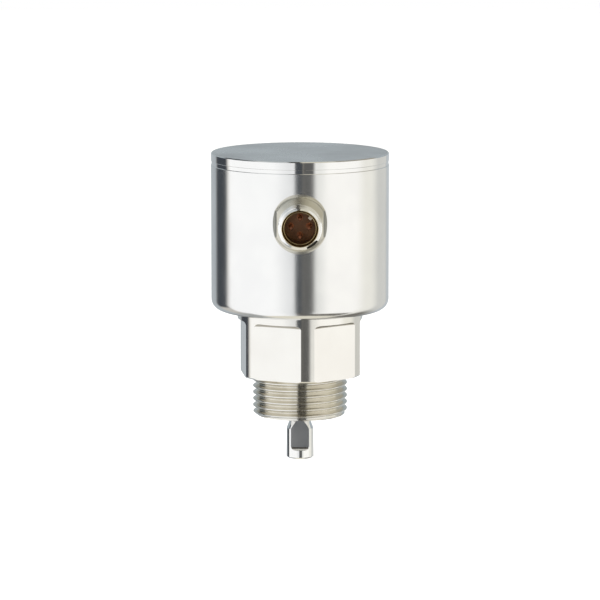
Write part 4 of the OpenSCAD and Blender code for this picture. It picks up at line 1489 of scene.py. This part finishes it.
@dataclass
class Studio:
    """Camera, surroundings, floor and lamps."""

    distance: float = 1150.0
    height: float = 193.4
    pitch: float = 8.54
    focal_pixels: float = 4154.0
    frame_pixels: float = 600.0
    sensor: float = 36.0
    floor_r: float = 1600.0
    floor_columns: int = 96
    floor_gap: float = 0.02
    floor_glow: float = 0.5
    floor_tone: float = 0.9
    clip: Pair = (0.05, 20.0)
    lamp_place: Place = (900.0, -600.0, 900.0)
    lamp_size: float = 900.0
    lamp_aim: float = 30.0
    lamp_powers: Pair = (9.0, 7.0)
    room: Colour = (0.62, 0.60, 0.56)
    panels: list[Panel] = field(default_factory=lambda: [
        Panel(-180.0, -139.0, -90.0, 90.0, (0.48, 0.52, 0.55)),
        Panel(-139.0, -107.0, -22.0, 90.0, (0.06, 0.068, 0.08), 8.0),
        Panel(-107.0, -6.2, -90.0, 90.0, (0.74, 0.68, 0.58), 12.0),
        Panel(-107.0, -6.2, -72.0, 60.0, (1.17, 1.175, 1.18), 12.0),
        Panel(-139.0, -95.0, 2.0, 60.0, (0.055, 0.062, 0.074), 7.0, 6.0),
        Panel(-24.0, 0.0, -72.0, 60.0, (0.96, 0.97, 0.98), 26.0),
        Panel(-109.0, -30.0, 28.0, 90.0, (0.62, 0.65, 0.66), 30.0, 30.0),
        Panel(3.5, 97.0, -90.0, 90.0, (0.60, 0.54, 0.44)),
        Panel(3.5, 100.0, 20.0, 90.0, (0.70, 0.67, 0.56)),
        Panel(17.0, 97.0, -72.0, 26.0, (1.18, 1.165, 1.13), 6.0, 12.0),
        Panel(14.0, 32.0, -72.0, 26.0, (0.98, 0.98, 0.95), 14.0, 12.0),
        Panel(20.0, 97.0, 3.0, 30.0, (0.70, 0.66, 0.55), 6.0),
        Panel(62.0, 100.0, 20.0, 60.0, (0.92, 0.91, 0.84), 10.0, 8.0),
        Panel(97.0, 160.0, -90.0, 90.0, (0.40, 0.37, 0.31)),
        Panel(97.0, 150.0, -56.0, 20.0, (0.71, 0.71, 0.68), 6.0, 30.0),
        Panel(86.0, 115.0, -56.0, 20.0, (1.0, 0.985, 0.915), 20.0, 30.0),
        Panel(150.0, 180.0, -90.0, 20.0, (0.56, 0.60, 0.63)),
        Panel(152.0, 176.0, 14.0, 60.0, (0.26, 0.23, 0.17), 6.0),
        Panel(156.0, 204.0, 34.0, 70.0, (0.10, 0.08, 0.06), 8.0),
        Panel(164.0, 196.0, -62.0, -26.0, (0.16, 0.14, 0.11), 8.0),
        Panel(-200.0, -92.0, -70.0, -46.0, (0.42, 0.43, 0.42), 20.0, 16.0),
        Panel(3.5, 88.0, -67.0, -44.0, (0.19, 0.18, 0.155), 2.0, 10.0),
        Panel(106.0, 172.0, -67.0, -38.0, (0.2, 0.19, 0.17), 10.0, 20.0),
        Panel(-6.2, 3.5, -90.0, 90.0, (0.06, 0.055, 0.05)),
        Panel(-30.0, 26.0, 46.0, 66.0, (0.34, 0.32, 0.26), 34.0, 12.0),
        Panel(-8.0, 1.5, 12.0, 52.0, (0.05, 0.045, 0.035), 1.0),
        Panel(-14.0, 2.0, 48.0, 72.0, (0.04, 0.036, 0.03), 2.0, 4.0),
        Panel(-6.2, 3.5, -30.0, 12.0, (0.07, 0.078, 0.088)),
        Panel(3.5, 18.4, -60.0, 30.0, (0.128, 0.128, 0.125), 5.0),
        Panel(-55.0, 5.0, 68.0, 87.0, (0.04, 0.036, 0.03), 4.0, 4.0),
        Panel(110.0, 250.0, 2.0, 32.0, (0.435, 0.485, 0.515), 12.0, 6.0),
        Panel(-180.0, 180.0, -91.0, -67.0, (0.86, 0.82, 0.70), 0.0, 6.0),
    ])

    def camera(self) -> None:
        """Places the camera at the photograph's viewing angle."""
        data = bpy.data.cameras.new("view")
        data.sensor_width = self.sensor
        data.lens = self.focal_pixels / self.frame_pixels * self.sensor
        data.clip_start, data.clip_end = self.clip
        camera = linked("view", data)
        camera.location = (0.0, -self.distance * MM, self.height * MM)
        camera.rotation_euler = (math.radians(90 - self.pitch), 0.0, 0.0)
        bpy.context.scene.camera = camera

    def band(self, graph: Graph, value: Socket, width: float, soft: float) -> Socket:
        """Returns 1 inside a band about zero and 0 outside, with soft edges."""
        share = graph.smooth_step(graph.math("ABSOLUTE", value), (width - soft) / 2, (width + soft) / 2)
        return graph.minus(1.0, share)

    def panel_mask(self, graph: Graph, azimuth: Socket, elevation: Socket, panel: Panel) -> Socket:
        """Share of a panel in a direction.

        Args:
            graph: graph of the world.
            azimuth: azimuth of the direction in degrees.
            elevation: elevation of the direction in degrees.
            panel: panel to show.

        Returns:
            1 inside the panel and 0 outside, with soft edges.
        """
        offset = graph.math("WRAP", graph.minus(azimuth, (panel.left + panel.right) / 2), 180.0, -180.0)
        height = graph.minus(elevation, (panel.low + panel.high) / 2)
        sideways = self.band(graph, offset, panel.right - panel.left, panel.soft)
        return graph.product(sideways, self.band(graph, height, panel.high - panel.low, panel.soft_ends))

    def surroundings(self) -> None:
        """Builds a world of pale panels and dark gaps round the sensor, white to the camera."""
        world = bpy.data.worlds.new("studio")
        bpy.context.scene.world = world
        world.use_nodes = True
        graph = Graph(world.node_tree)
        x, y, z = graph.split(graph.node("ShaderNodeTexCoord").outputs["Generated"])
        azimuth = graph.math("DEGREES", graph.math("ARCTAN2", x, graph.product(y, -1.0)))
        elevation = graph.math("DEGREES", graph.math("ARCSINE", z))
        colour: object = self.room
        for panel in self.panels:
            colour = graph.mix(self.panel_mask(graph, azimuth, elevation, panel), colour, panel.colour)
        rays = graph.node("ShaderNodeLightPath")
        white = graph.mix(rays.outputs["Is Camera Ray"], colour, (1.0, 1.0, 1.0))
        background = graph.node("ShaderNodeBackground", {"Color": white, "Strength": 1.0})
        graph.node("ShaderNodeOutputWorld", {"Surface": background.outputs[0]})

    def floor(self) -> None:
        """Builds the pale floor under the stub, which keeps the sensor's shadow."""
        level = extent("rod_coupling")[0].z - self.floor_gap
        mesh = bpy.data.meshes.new("floor")
        shape = bmesh.new()
        bmesh.ops.create_circle(shape, cap_ends=True, segments=self.floor_columns, radius=self.floor_r * MM)
        bmesh.ops.translate(shape, verts=shape.verts, vec=(0, 0, level * MM))
        shape.to_mesh(mesh)
        shape.free()
        material = bpy.data.materials.new("pale_floor")
        material.use_nodes = True
        graph = Graph(material.node_tree)
        rays = graph.node("ShaderNodeLightPath")
        surface = graph.node("ShaderNodeBsdfPrincipled", {
            "Base Color": [self.floor_tone] * 3,
            "Roughness": self.floor_tone,
            "Specular IOR Level": 0.0,
            "Emission Color": (1.0, 1.0, 1.0),
            "Emission Strength": graph.product(rays.outputs["Is Camera Ray"], self.floor_glow),
        })
        graph.node("ShaderNodeOutputMaterial", {"Surface": surface.outputs[0]})
        mesh.materials.append(material)
        floor = linked("floor", mesh)
        floor.visible_glossy = False

    def lamps(self) -> None:
        """Adds two large soft lamps, at the left and the right."""
        x, y, z = (side * MM for side in self.lamp_place)
        for name, side, power in zip(("left_box", "right_box"), (-x, x), self.lamp_powers):
            data = bpy.data.lights.new(name, "AREA")
            data.shape = "RECTANGLE"
            data.size = data.size_y = self.lamp_size * MM
            data.energy = power
            lamp = linked(name, data)
            lamp.location = (side, y, z)
            aim = Vector((0, 0, self.lamp_aim * MM)) - lamp.location
            lamp.rotation_euler = aim.to_track_quat("-Z", "Y").to_euler()
            lamp.visible_glossy = False

    def build(self) -> None:
        """Sets up the whole studio."""
        self.camera()
        self.surroundings()
        self.floor()
        self.lamps()
        bpy.context.scene.view_settings.view_transform = "Standard"


def main() -> None:
    """Builds the sensor and its studio."""
    logging.basicConfig(level=logging.INFO, format="%(name)s: %(message)s")
    housing_r = extent("housing")[1].x
    axis_z = mount_of("connector_thread")["pos_m"][2] / MM
    book = FinishBook(axis_z)
    cutter = ThreadCutter()
    hidden = HiddenParts(book)
    hidden.dress()
    hidden.dress_key()
    ProcessConnection(cutter, book).build()
    RodCoupling(book).build()
    Housing(book).build()
    Lid(book).build()
    ConnectorSleeve(cutter, book, housing_r, axis_z).build()
    ContactPins(book, axis_z).build()
    Studio().build()


if __name__ == "__main__":
    main()
